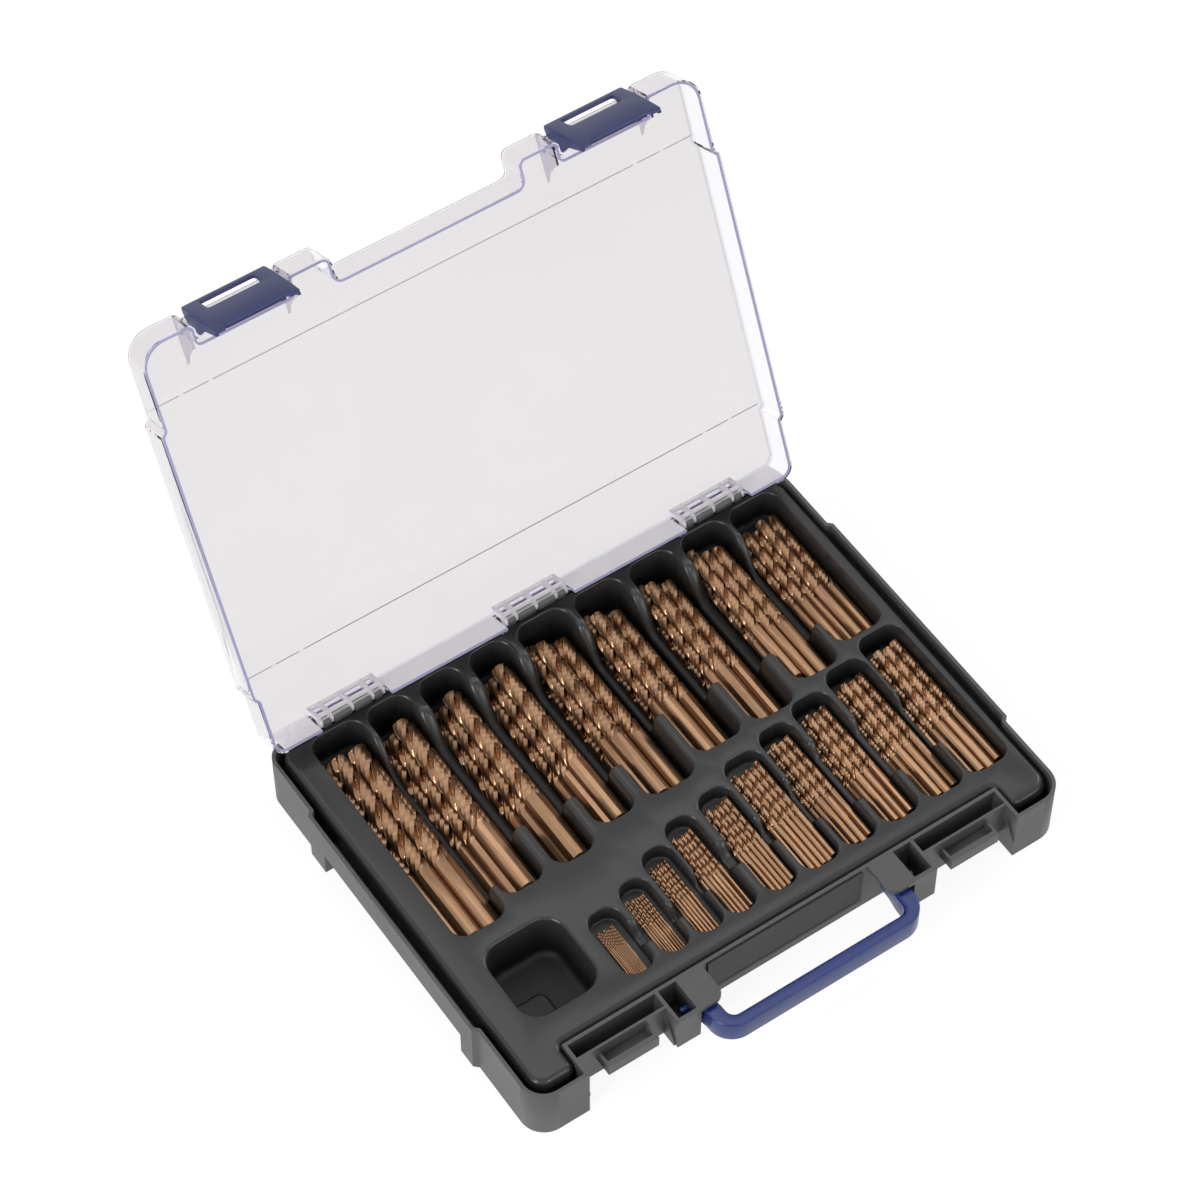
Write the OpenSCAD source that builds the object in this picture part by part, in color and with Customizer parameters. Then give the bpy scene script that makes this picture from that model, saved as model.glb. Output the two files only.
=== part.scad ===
// Drill bit case: a shallow base with a pocketed tray, a clear lid on three hinges,
// two snap latches and a folding handle, holding nineteen sizes of twist drill bit.
// Millimetres, +Z up, -Y to the front. The origin is the centre of the underside.

/* [Case] */
// Width across the rim, without the side bulges
case_w = 332; // [330:1:344]
// Depth from the rear wall to the front corner blocks
case_d = 255; // [254:1:266]
// Height of the base
base_h = 36; // [35.5:0.5:42]
// Height of the lid at its front and rear edges
lid_h = 20.2; // [19:0.1:24]
// Extra height of the middle of the lid
lid_crown = 1; // [0.5:0.1:2]
// Wall thickness of the base and lid
wall = 2; // [1.8:0.1:2.2]
// Extra width of the long bulge on each side
bulge = 2.5; // [1.5:0.1:3.5]
// Corner radius at the front
front_r = 14; // [12:0.5:16]
// Corner radius at the rear
rear_r = 10; // [8:0.5:12]
// Height of the wide band round the top of the base
band_h = 20; // [17:0.5:21]
// How far the sides step in below the band
side_step = 5; // [4:0.5:5]

/* [Hinges] */
// How far the lid stands open from shut, in degrees
open_angle = 114; // [95:1:116]
// Distance of the hinge axis in front of the rear wall
hinge_inset = 6; // [5.5:0.1:7]
// Height of the hinge axis above the rim
hinge_rise = 8; // [7.5:0.1:9]
// Width of each hinge block
hinge_w = 42; // [36:1:48]
// Spacing of the hinge blocks
hinge_pitch = 116; // [100:1:120]
// Radius of the lid's hinge bar
hinge_bar_r = 2; // [1.6:0.1:2.2]
// Radial clearance of every turning fit
run_gap = 0.05; // [0.03:0.01:0.1]

/* [Front fittings] */
// Width of each front corner block
block_w = 32.2; // [30:0.1:34]
// Depth of the recess between the corner blocks
front_recess = 20; // [18:0.5:22]
// Height of the fittings on the front wall
fitting_h = 24; // [22:0.5:26]
// Width of each handle boss
boss_w = 29; // [28:0.5:30]
// Distance from the middle of the case to a boss
boss_in = 52; // [50:0.5:53]
// Width of the catch ledge
ledge_w = 30.5; // [26:0.5:34]
// Depth of the catch ledge's top below the rim
ledge_drop = 5; // [4:0.5:6]
// Height of the catch ledge
ledge_h = 7.5; // [6:0.5:9]

/* [Latches] */
// Width of a latch
latch_w = 48.4; // [44:0.1:49]
// Height of a latch above the rim when the case is shut
latch_top = 18.5; // [17:0.1:19]
// Length of a latch
latch_h = 39.5; // [37:0.5:42]
// Height of the latch bar above the rim when the case is shut
latch_bar_rise = 11; // [10:0.1:12]
// Radius of the latch bar
latch_bar_r = 1.8; // [1.5:0.1:2]

/* [Handle] */
// Width of each handle arm
arm_w = 10; // [8:0.5:11]
// Height of the handle
handle_h = 14; // [12:0.5:15]
// Reach of the handle in front of the corner blocks
handle_reach = 18; // [15:0.5:22]
// Thickness of the grip from front to back
grip_t = 7.5; // [6.5:0.5:10]
// Outer corner radius of the handle
handle_r = 12; // [10:0.5:14]
// Radius of the handle's pivot pins
handle_pin_r = 2.5; // [2:0.1:3]

/* [Tray] */
// Thickness of the tray
tray_t = 1.5; // [1.2:0.1:1.6]
// Depth of the tray's deck below the rim
tray_drop = 1.5; // [1:0.1:2.5]
// Depth of the top of a pile below the deck
pile_drop = 4; // [3:0.5:5]
// Least depth of a bit pocket
pocket_min = 10.5; // [9:0.5:12]
// Depth of the finger scoops in the rear row
scoop_rear = 20; // [8:0.5:21]
// Depth of the finger scoops in the front row
scoop_front = 9; // [5:0.5:11]
// Corner radius of the bit pockets
pocket_r = 8; // [6:0.5:8]
// Pocket length beyond the bit, rear row
slack_rear = 13; // [12.5:0.1:13.2]

/* [Bits] */
// Angle of the cutting point, in degrees
point_angle = 135; // [118:1:140]
// Gap left between neighbouring bits
bit_gap = 0.06; // [0.04:0.01:0.08]
// Largest offset of a bit along its pocket
stagger = 2; // [0:0.1:2]

/* [Hidden] */
$fn = 64;
eps = 0.01;

// Case frame
half_w = case_w / 2;
front_y = -case_d / 2;
rear_y = case_d / 2;
band_z = base_h - band_h;
hinge_y = rear_y - hinge_inset;
hinge_z = base_h + hinge_rise;
wall_y = front_y + front_recess;
recess_w = half_w - block_w;
fitting_z = base_h - fitting_h;

// Side bulges and feet, as distances from the rear and front
bulge_rear = 44.5;
bulge_front = 51.5;
foot_rear = 16.5;
foot_front = 13.5;
lid_bulge_extra = 4.5;

// Hinge details
bar_t = 3.5;
bar_h = 6.6;
rib_t = 1.6;
window_small = 5;
window_big = 11;
knuckle_w = 5 * rib_t + 2 * window_small + 2 * window_big;
knuckle_depth = 5.4;
knuckle_t = 1.4;
hook_r = 3.6;
hook_gap = 0.5;
hook_mouth = 3;

// Lid details
lid_gap = 0.05;
lid_z = base_h + lid_h;
lid_rear_y = hinge_y + 1;
lid_front_r = front_r + 1;
lid_rear_r = rear_r - 2;
notch_half = 55.5;
notch_in = 15;
latch_room = latch_w + 4.6;
latch_room_in = 11;

// Front fittings
boss_out = boss_in + boss_w;
boss_front = front_y - 1;
arm_out = 66.7;
arm_gap = 0.1;
socket_t = 1.3;
socket_front_t = 2.5;
cap_t = 2.5;
cap_r = 6;
rib_y = wall_y - 8.5;
fitting_t = 1.5;
ledge_front = front_y + 0.2;
ledge_wall = 1.5;

// Latches, with their bar's axis
latch_x = (recess_w + boss_out) / 2 - 0.2;
bar_y = front_y + 2.5;
bar_z = base_h + latch_bar_rise;
latch_plate_y = front_y - 0.3;
latch_plate_t = 2;
latch_bottom = latch_top - latch_h;
clip_w = 5.5;
clip_wall = 1.5;
clip_mouth = 2.6;
clip_in = 1;
skirt_t = 1.5;
skirt_in = 7;
window_w = latch_w - 14.4;
window_h = 10;
window_top = 3;

// Handle
handle_top = base_h - cap_t - 1.5;
pivot_y = front_y + 9;
pivot_z = handle_top - handle_h / 2;
handle_front = front_y - handle_reach;
pin_len = 6;

// Tray
deck_z = base_h - tray_drop;
tray_x0 = -half_w + 5.5;
tray_x1 = half_w - 3.5;
tray_front = wall_y + wall + 1;
tongue_front = front_y + 7.5;
tray_rear = rear_y - wall - 1.2;
tray_r = 10;
tongue_w = recess_w + wall + 0.6;
skirt_z = band_z + wall;
rear_row_y = rear_y - 7;
front_row_y = wall_y + 15;
floor_min = wall + tray_t;
edge_rear = 15;

// Square pocket
square_w = 45;
square_d = 48;
square_y = wall_y + 22;
square_r = 12;
pad_w = 22;
pad_h = 12;

// Bits: diameter, whole length and the number in each layer of the pile
bits_rear = [
  [10, 133, [3, 2]], [9.5, 125, [2, 2, 1]], [9, 125, [2, 2, 1]],
  [8.5, 117, [2, 2, 1]], [8, 117, [3, 3, 3, 1]], [7.5, 109, [3, 3, 3, 1]],
  [7, 109, [3, 3, 3, 1]], [6.5, 101, [4, 3, 3]], [6, 93, [5, 4, 1]]
];
bits_front = [
  [1, 34, [10]], [1.5, 40, [8, 2]], [2, 49, [6, 4]], [2.5, 57, [6, 4]],
  [3, 61, [5, 5]], [3.5, 70, [5, 5]], [4, 75, [4, 4, 2]],
  [4.5, 80, [4, 4, 2]], [5, 86, [4, 4, 2]], [5.5, 93, [4, 4, 2]]
];

// Pockets: share of the tray's spare width on the left, width, and how far the front block
// runs back between this pocket and the next
pockets_rear = [
  [16, 30.7, 9], [3.8, 25, 31.5], [7.5, 24, 23.3], [7.5, 23.5, 26.6], [7.5, 30.5, 32.3],
  [6, 29.5, 32.6], [6.5, 27.5, 23.5], [7, 28, 17.3], [4, 31, 0]
];
pockets_front = [
  [10, 18.5, 12], [5, 17, 14.5], [3.5, 18, 20], [2, 18.5, 24], [6, 19.5, 25],
  [3.5, 23, 23.5], [3, 21, 21], [4, 23, 24], [4, 25, 26], [2.1, 26.8, 0]
];
end_rear = 7.5;
end_front = 5.1;
square_gap = 19.5;
scoops_front = [29, 27, 37, 42, 44, 55, 65.5, 66, 65];
pile_lean = 0.8;

// Spare width of the tray shared out among the gaps of each row
function total(rows, k, n) = n < 0 ? 0 : rows[n][k] + total(rows, k, n - 1);
rear_last = len(pockets_rear) - 1;
front_last = len(pockets_front) - 1;
spare_rear = tray_x1 - tray_x0 - total(pockets_rear, 1, rear_last);
spare_front = tray_x1 - tray_x0 - square_w - total(pockets_front, 1, front_last);
share_rear = spare_rear / (total(pockets_rear, 0, rear_last) + end_rear);
share_front = spare_front / (square_gap + total(pockets_front, 0, front_last) + end_front);
square_x = tray_x0 + share_front * square_gap;
function left_of(i, rear) = rear
  ? tray_x0 + share_rear * total(pockets_rear, 0, i) + total(pockets_rear, 1, i - 1)
  : square_x + square_w + share_front * total(pockets_front, 0, i)
    + total(pockets_front, 1, i - 1);

function radius(bit) = bit[0] / 2;
function pitch(bit) = bit[0] + bit_gap;
function pile_h(bit) = bit[0] + (len(bit[2]) - 1) * pitch(bit) * sqrt(3) / 2;
function floor_z(bit) = max(floor_min, deck_z - max(pocket_min, pile_drop + pile_h(bit)));
function slack_front(bit) = 7.5 + 0.55 * bit[0];
function facing(k) = bits_rear[k][1] + slack_rear + bits_front[k + 1][1]
  + slack_front(bits_front[k + 1]);
function stagger_of(i, j) = stagger * ((3 * i + 5 * j) % 7) / 6;
function half_gap(n, odd) = odd ? max(0, floor((n - 1) / 2)) : ceil(max(0, n) / 2);
function first_in(rows, k) = k == 0 ? 0 : half_gap(rows[k - 1] - rows[k], k % 2 == 1);
function row_w(rows, k) = first_in(rows, k) + rows[k] + (k % 2) / 2;
function pile_w(bit) = pitch(bit) * max([for (k = [0:len(bit[2]) - 1]) row_w(bit[2], k)]);
function corner_in(r, u) = u >= r ? 0 : r - sqrt(r * r - (r - u) * (r - u));

// How much shorter than standard the bits are where the case is too shallow for both rows
shortage = max([for (k = [6:8]) facing(k)]) - (rear_row_y - front_row_y);
bit_trim = max(0, shortage / 2);
function bit_len(bit) = bit[1] - bit_trim;

// Rectangle with one radius at its front corners and another at its rear corners
module slab_plan(x0, x1, y0, y1, rf, rr) {
  translate([x0, y0 + rf]) square([x1 - x0, y1 - y0 - rf - rr]);
  translate([x0 + rf, y0]) square([x1 - x0 - 2 * rf, rf + eps]);
  translate([x0 + rr, y1 - rr - eps]) square([x1 - x0 - 2 * rr, rr + eps]);
  for (x = [x0 + rf, x1 - rf]) translate([x, y0 + rf]) circle(r = rf);
  for (x = [x0 + rr, x1 - rr]) translate([x, y1 - rr]) circle(r = rr);
}

// The two side bulges, with a short ramp at each end
module bulge_plan(inset, extra) {
  y0 = front_y + bulge_front - extra + inset / 2;
  y1 = rear_y - bulge_rear + extra - inset / 2;
  x0 = half_w - inset;
  ramp = [[x0 - 1, y0], [x0, y0], [x0 + bulge, y0 + bulge], [x0 + bulge, y1 - bulge],
    [x0, y1], [x0 - 1, y1]];
  for (side = [0, 1]) mirror([side, 0, 0]) polygon(ramp);
}

// Outline of the base at its rim
module base_plan(inset) {
  difference() {
    union() {
      slab_plan(-half_w + inset, half_w - inset, front_y + inset, rear_y - inset,
        front_r - inset, rear_r - inset);
      bulge_plan(inset, 0);
    }
    translate([-recess_w - inset, front_y - 5])
      square([2 * (recess_w + inset), front_recess + 5 + inset]);
  }
}

// The two long steps under the side bands
module step_plan(grow) {
  y0 = front_y + bulge_front + foot_front - grow;
  y1 = rear_y - bulge_rear - foot_rear + grow;
  for (side = [0, 1]) mirror([side, 0, 0])
    translate([half_w - side_step - grow, y0]) square([20, y1 - y0]);
}

// Walls and floor of the base
module base_walls() {
  difference() {
    linear_extrude(base_h) base_plan(0);
    translate([0, 0, -1]) linear_extrude(band_z + 1) step_plan(0);
    translate([0, 0, wall]) linear_extrude(base_h) difference() {
      base_plan(wall);
      step_plan(wall);
    }
    translate([0, 0, skirt_z]) linear_extrude(base_h) base_plan(wall);
  }
}

// One hinge block: a bar on the rear wall with a hook in each window of the lid's knuckle
module hinge_block() {
  hook_y = [[-knuckle_w / 2 + rib_t + window_small / 2, window_small - 2 * hook_gap],
    [-rib_t / 2 - window_big / 2, window_big - 2 * hook_gap],
    [rib_t / 2 + window_big / 2, window_big - 2 * hook_gap],
    [knuckle_w / 2 - rib_t - window_small / 2, window_small - 2 * hook_gap]];
  translate([-hinge_w / 2, rear_y - bar_t, base_h - 1]) cube([hinge_w, bar_t, bar_h + 1]);
  for (h = hook_y) translate([h[0], hinge_y, hinge_z]) difference() {
    union() {
      rotate([0, 90, 0]) cylinder(r = hook_r, h = h[1], center = true);
      translate([-h[1] / 2, 1.5, -6]) cube([h[1], hinge_inset - 2, 5]);
    }
    rotate([0, 90, 0]) cylinder(r = hinge_bar_r + run_gap, h = h[1] + 1, center = true);
    translate([-h[1] / 2 - 1, -hook_mouth / 2, 0]) cube([h[1] + 2, hook_mouth, hook_r + 1]);
  }
}

// Latch catch, trough and handle boss on one side of the front wall
module front_fitting() {
  depth = wall_y - rib_y;
  // trough floor and rib
  translate([boss_out - 1, rib_y, fitting_z])
    cube([recess_w - boss_out + 2, depth + 1, fitting_t]);
  translate([boss_out - 1, rib_y - fitting_t, fitting_z])
    cube([recess_w - boss_out + 2, fitting_t, fitting_h]);
  // catch ledge with its pocket
  difference() {
    translate([latch_x - ledge_w / 2 - 0.3, ledge_front, base_h - ledge_drop - ledge_h])
      cube([ledge_w, rib_y - fitting_t - ledge_front + eps, ledge_h]);
    translate([latch_x - ledge_w / 2 - 0.3 + ledge_wall, ledge_front + 3.3,
      base_h - ledge_drop - ledge_h + 2])
      cube([ledge_w - 2 * ledge_wall, rib_y - fitting_t - ledge_front - 3.3, ledge_h]);
  }
  // gussets at both ends of the trough
  for (x = [boss_out, recess_w - 1])
    translate([x, rib_y - fitting_t, fitting_z]) gusset();
  boss();
}

// Triangular gusset in front of the rib
module gusset() {
  rotate([90, 0, 90]) linear_extrude(1)
    polygon([[eps, 0], [-9, 0], [-9, 3], [eps, fitting_h - 3]]);
}

// Open socket beside the cap that covers a handle arm
module boss() {
  socket_in = arm_out + arm_gap;
  difference() {
    translate([socket_in, boss_front, fitting_z])
      cube([boss_out - socket_in, wall_y - boss_front + eps, fitting_h]);
    translate([socket_in + socket_t, boss_front + socket_front_t, fitting_z + wall])
      cube([boss_out - socket_in - socket_t - wall, wall_y - boss_front - socket_front_t,
        fitting_h]);
    translate([socket_in - 1, pivot_y, pivot_z])
      rotate([0, 90, 0]) cylinder(r = handle_pin_r + run_gap, h = socket_t + 2);
  }
  translate([0, 0, base_h - cap_t]) linear_extrude(cap_t) {
    translate([boss_in, boss_front + cap_r])
      square([socket_in - boss_in + eps, wall_y - boss_front - cap_r + eps]);
    translate([boss_in + cap_r, boss_front])
      square([socket_in - boss_in - cap_r + eps, cap_r + eps]);
    translate([boss_in + cap_r, boss_front + cap_r]) circle(r = cap_r);
  }
}

// Base of the case, with its hinge blocks, catches and handle bosses
module base_shell() {
  color([0.36, 0.36, 0.37]) union() {
    base_walls();
    for (k = [-1, 0, 1]) translate([k * hinge_pitch, 0, 0]) hinge_block();
    for (side = [0, 1]) mirror([side, 0, 0]) front_fitting();
  }
}

// Plain plate on the front wall between the handle bosses
module label_plate() {
  color([0.42, 0.42, 0.43])
    translate([-boss_in + 3.5, wall_y - 1.2, fitting_z - 4])
      cube([2 * (boss_in - 3.5), 1.2, fitting_h + 3]);
}

// Outline of the tray, with a tongue into each front corner block
module tray_plan(inset) {
  difference() {
    slab_plan(tray_x0 + inset, tray_x1 - inset, tongue_front + inset, tray_rear - inset,
      tray_r - inset, tray_r - inset);
    translate([-tongue_w - inset, tongue_front - 5])
      square([2 * (tongue_w + inset), tray_front - tongue_front + 5 + inset]);
  }
}

// Outline of a pocket, grown for the outside of its cup
module pocket_plan(x0, x1, y0, y1, r, grow) {
  slab_plan(x0 - grow, x1 + grow, y0 - grow, y1 + grow, r + grow, r + grow);
}

function corner_of(w) = min(pocket_r, w / 2 - 0.5);
function front_of(i, rear) =
  rear ? rear_row_y - bit_len(bits_rear[i]) - slack_rear : front_row_y;
function rear_of(i, rear) =
  rear ? rear_row_y : front_row_y + bit_len(bits_front[i]) + slack_front(bits_front[i]);

// One bit pocket, from its floor up
module pocket(i, rear, grow, z0, top) {
  w = rear ? pockets_rear[i][1] : pockets_front[i][1];
  x0 = left_of(i, rear);
  translate([0, 0, z0]) linear_extrude(top - z0)
    pocket_plan(x0, x0 + w, front_of(i, rear), rear_of(i, rear), corner_of(w), grow);
}

// Finger scoop through the partition between pocket i and the next
module scoop(i, rear, grow) {
  p = rear ? pockets_rear : pockets_front;
  y0 = max(front_of(i, rear), front_of(i + 1, rear)) + p[i][2];
  y1 = rear ? rear_row_y - edge_rear : front_row_y + scoops_front[i];
  x0 = left_of(i, rear) + p[i][1] - corner_of(p[i][1]);
  x1 = left_of(i + 1, rear) + corner_of(p[i + 1][1]);
  depth = rear ? scoop_rear : scoop_front;
  translate([x0, y0 - grow, deck_z - depth - grow])
    cube([x1 - x0, y1 - y0 + 2 * grow, depth + grow - (grow > 0 ? tray_t : -1)]);
}

// Tray with a deck, a skirt, a cup for each size and an empty square pocket
module tray_insert() {
  rear_n = len(bits_rear);
  front_n = len(bits_front);
  color([0.25, 0.25, 0.26]) difference() {
    union() {
      translate([0, 0, deck_z - tray_t]) linear_extrude(tray_t) tray_plan(0);
      translate([0, 0, skirt_z]) linear_extrude(deck_z - skirt_z) difference() {
        tray_plan(0);
        tray_plan(tray_t);
      }
      for (i = [0:rear_n - 1])
        pocket(i, true, tray_t, floor_z(bits_rear[i]) - tray_t, deck_z - eps);
      for (i = [0:front_n - 1])
        pocket(i, false, tray_t, floor_z(bits_front[i]) - tray_t, deck_z - eps);
      for (i = [0:rear_n - 2]) scoop(i, true, tray_t);
      for (i = [0:front_n - 2]) scoop(i, false, tray_t);
      translate([0, 0, floor_min - tray_t]) linear_extrude(deck_z - floor_min)
        pocket_plan(square_x, square_x + square_w, square_y, square_y + square_d, square_r,
          tray_t);
    }
    for (i = [0:rear_n - 1]) pocket(i, true, 0, floor_z(bits_rear[i]), deck_z + 1);
    for (i = [0:front_n - 1]) pocket(i, false, 0, floor_z(bits_front[i]), deck_z + 1);
    for (i = [0:rear_n - 2]) scoop(i, true, 0);
    for (i = [0:front_n - 2]) scoop(i, false, 0);
    translate([0, 0, floor_min]) linear_extrude(base_h) difference() {
      pocket_plan(square_x, square_x + square_w, square_y, square_y + square_d, square_r, 0);
      translate([square_x - 1, square_y - 1]) square([pad_w, pad_w]);
    }
    translate([0, 0, floor_min + pad_h]) linear_extrude(base_h)
      pocket_plan(square_x, square_x + square_w, square_y, square_y + square_d, square_r, 0);
  }
}

// Pile of one size of bit, shank ends to the front, each clear of the pocket's corners
module pile(bit, left, w, y_front, lean) {
  r = radius(bit);
  tip_h = r / tan(point_angle / 2);
  rows = bit[2];
  corner = corner_of(w);
  side = min(lean, (w - pile_w(bit)) / 2);
  color([0.55, 0.4, 0.28])
    for (k = [0:len(rows) - 1]) for (j = [0:rows[k] - 1]) {
      x = side + bit_gap / 2 + r + (j + first_in(rows, k) + (k % 2) / 2) * pitch(bit);
      y = corner_in(corner, min(x, w - x) - r) + 0.2 + stagger_of(k, j);
      z = floor_z(bit) + bit_gap / 2 + r + k * pitch(bit) * sqrt(3) / 2;
      translate([left + x, y_front + y, z]) rotate([-90, 0, 0]) {
        cylinder(r = r, h = bit_len(bit) - tip_h);
        translate([0, 0, bit_len(bit) - tip_h]) cylinder(r1 = r, r2 = 0, h = tip_h);
      }
    }
}

module rear_pile(i) {
  pile(bits_rear[i], left_of(i, true), pockets_rear[i][1], front_of(i, true), pile_lean);
}

module front_pile(i) {
  pile(bits_front[i], left_of(i, false), pockets_front[i][1], front_of(i, false), case_w);
}

module bits_10_0() { rear_pile(0); }
module bits_9_5() { rear_pile(1); }
module bits_9_0() { rear_pile(2); }
module bits_8_5() { rear_pile(3); }
module bits_8_0() { rear_pile(4); }
module bits_7_5() { rear_pile(5); }
module bits_7_0() { rear_pile(6); }
module bits_6_5() { rear_pile(7); }
module bits_6_0() { rear_pile(8); }
module bits_1_0() { front_pile(0); }
module bits_1_5() { front_pile(1); }
module bits_2_0() { front_pile(2); }
module bits_2_5() { front_pile(3); }
module bits_3_0() { front_pile(4); }
module bits_3_5() { front_pile(5); }
module bits_4_0() { front_pile(6); }
module bits_4_5() { front_pile(7); }
module bits_5_0() { front_pile(8); }
module bits_5_5() { front_pile(9); }

// Turns what is drawn shut about the hinge axis to where the lid stands open
module stand_open() {
  translate([0, hinge_y, hinge_z]) rotate([-open_angle, 0, 0])
    translate([0, -hinge_y, -hinge_z]) children();
}

// Outline of the lid, with the handle notch and the two latch rooms
module lid_plan(inset) {
  difference() {
    union() {
      slab_plan(-half_w + inset, half_w - inset, front_y + inset, lid_rear_y - inset,
        lid_front_r - inset, lid_rear_r - inset);
      bulge_plan(inset, lid_bulge_extra);
    }
    translate([-notch_half - inset, front_y - 5])
      square([2 * (notch_half + inset), notch_in + 5 + inset]);
    for (side = [-1, 1])
      translate([side * latch_x - latch_room / 2 - inset, front_y - 5])
        square([latch_room + 2 * inset, latch_room_in + 5 + inset]);
  }
}

// Raised middle of the lid
module crown_plan(inset) {
  y0 = front_y + bulge_front - lid_bulge_extra - 4 + inset;
  y1 = rear_y - bulge_rear + lid_bulge_extra - 3 - inset;
  intersection() {
    lid_plan(inset);
    translate([-case_w, y0]) square([2 * case_w, y1 - y0]);
  }
}

// One knuckle of the lid: the hinge bar, its ribs and the plate with four windows
module lid_knuckle() {
  rib_h = lid_h - hinge_rise - wall + 0.5;
  pitch_x = [-knuckle_w / 2, -knuckle_w / 2 + rib_t + window_small, -rib_t / 2,
    rib_t / 2 + window_big, knuckle_w / 2 - rib_t];
  translate([0, hinge_y, hinge_z]) {
    rotate([0, 90, 0]) cylinder(r = hinge_bar_r, h = knuckle_w, center = true);
    for (x = pitch_x) {
      translate([x, -knuckle_depth, -2]) cube([rib_t, knuckle_depth - 1.5, rib_h + 2]);
      translate([x, -2, 0]) rotate([0, 90, 0]) cylinder(r = 2, h = rib_t);
    }
    difference() {
      translate([-knuckle_w / 2, -knuckle_depth, -2]) cube([knuckle_w, knuckle_t, rib_h + 2]);
      for (k = [0:3]) translate([pitch_x[k] + rib_t, -knuckle_depth - 1, 0.5])
        cube([pitch_x[k + 1] - pitch_x[k] - rib_t, knuckle_t + 2, 7]);
    }
  }
}

// The lid drawn shut
module lid_shut() {
  difference() {
    union() {
      translate([0, 0, base_h + lid_gap]) linear_extrude(lid_h - lid_gap) lid_plan(0);
      translate([0, 0, lid_z - 1]) linear_extrude(lid_crown + 1) crown_plan(0);
    }
    translate([0, 0, base_h - 1]) linear_extrude(lid_h + 1 - wall) lid_plan(wall);
    translate([0, 0, base_h - 1]) linear_extrude(lid_h + 1 - wall + lid_crown)
      crown_plan(wall);
    for (k = [-1, 0, 1])
      translate([k * hinge_pitch - hinge_w / 2 - 0.5, hinge_y - 2, base_h - 1])
        cube([hinge_w + 1, 4, lid_h + 1 - wall]);
  }
  for (k = [-1, 0, 1]) translate([k * hinge_pitch, 0, 0]) lid_knuckle();
  for (side = [-1, 1]) translate([side * latch_x, bar_y, bar_z])
    rotate([0, 90, 0]) cylinder(r = latch_bar_r, h = latch_room + wall, center = true);
}

// Clear lid, standing open
module lid_shell() {
  color([0.9, 0.9, 0.93, 0.35]) stand_open() lid_shut();
}

// One latch drawn shut, centred on x = 0
module latch_shut() {
  y = latch_plate_y - bar_y;
  top = latch_top - latch_bar_rise;
  bottom = latch_bottom - latch_bar_rise;
  ledge_z = -latch_bar_rise - ledge_drop - ledge_h;
  skirt = [[y - latch_plate_t, top], [y + eps, top], [skirt_in - 2.5, top - 2],
    [skirt_in, top - 4.5], [skirt_in, -8], [1.5, -16], [y + 2, bottom], [y - latch_plate_t, bottom]];
  clip_x = latch_w / 2 - clip_in - clip_w / 2;
  translate([0, bar_y, bar_z]) difference() {
    union() {
      translate([-latch_w / 2, y - latch_plate_t, bottom])
        cube([latch_w, latch_plate_t, latch_h]);
      for (x = [-latch_w / 2, latch_w / 2 - skirt_t])
        translate([x, 0, 0]) rotate([90, 0, 90]) linear_extrude(skirt_t) polygon(skirt);
      for (x = [-clip_x, clip_x]) translate([x, 0, 0]) rotate([0, 90, 0])
        cylinder(r = latch_bar_r + clip_wall, h = clip_w, center = true);
      // hook under the catch ledge
      translate([-ledge_w / 2 + 1, y - eps, ledge_z - 2.7]) cube([ledge_w - 2, 2, 2.5]);
      translate([-latch_w / 2, y - eps, bottom]) cube([latch_w, 1.6, 2.5]);
    }
    rotate([0, 90, 0])
      cylinder(r = latch_bar_r + run_gap, h = latch_w + 2, center = true);
    translate([-latch_w / 2 - 1, 0, -clip_mouth / 2]) cube([latch_w + 2, 12, clip_mouth]);
    translate([-window_w / 2, y - latch_plate_t - 1, top - window_top - window_h])
      cube([window_w, latch_plate_t + 2, window_h]);
    // shallow finger recess between the feet
    translate([-8, y - latch_plate_t - 1, bottom - 1]) cube([16, 1.8, 9]);
  }
}

module latch_left() {
  color([0.2, 0.23, 0.42]) stand_open() translate([-latch_x, 0, 0]) latch_shut();
}

module latch_right() {
  color([0.2, 0.23, 0.42]) stand_open() translate([latch_x, 0, 0]) latch_shut();
}

// Outline of the front of the handle
module grip_plan(half, y0, y1, r) {
  translate([-half, y0 + r]) square([2 * half, y1 - y0 - r]);
  translate([-half + r, y0]) square([2 * (half - r), r + eps]);
  for (x = [-half + r, half - r]) translate([x, y0 + r]) circle(r = r);
}

// U-shaped handle with a pivot pin on each arm
module handle() {
  inner = arm_out - arm_w;
  inner_r = handle_r - arm_w + 2;
  joint_y = handle_front + handle_r + 2;
  color([0.16, 0.22, 0.5]) union() {
    translate([0, 0, handle_top - handle_h]) linear_extrude(handle_h) difference() {
      grip_plan(arm_out, handle_front, joint_y, handle_r);
      grip_plan(inner, handle_front + grip_t, pivot_y, inner_r);
    }
    for (side = [0, 1]) mirror([side, 0, 0]) {
      translate([inner, pivot_y, pivot_z]) rotate([90, 0, 90]) linear_extrude(arm_w) {
        circle(r = handle_h / 2);
        translate([joint_y - pivot_y - 1, -handle_h / 2])
          square([pivot_y - joint_y + 1, handle_h]);
      }
      translate([arm_out - 1, pivot_y, pivot_z]) rotate([0, 90, 0])
        cylinder(r = handle_pin_r, h = 1 + pin_len);
    }
  }
}

base_shell();
label_plate();
tray_insert();
lid_shell();
latch_left();
latch_right();
handle();
bits_10_0();
bits_9_5();
bits_9_0();
bits_8_5();
bits_8_0();
bits_7_5();
bits_7_0();
bits_6_5();
bits_6_0();
bits_5_5();
bits_5_0();
bits_4_5();
bits_4_0();
bits_3_5();
bits_3_0();
bits_2_5();
bits_2_0();
bits_1_5();
bits_1_0();
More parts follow.
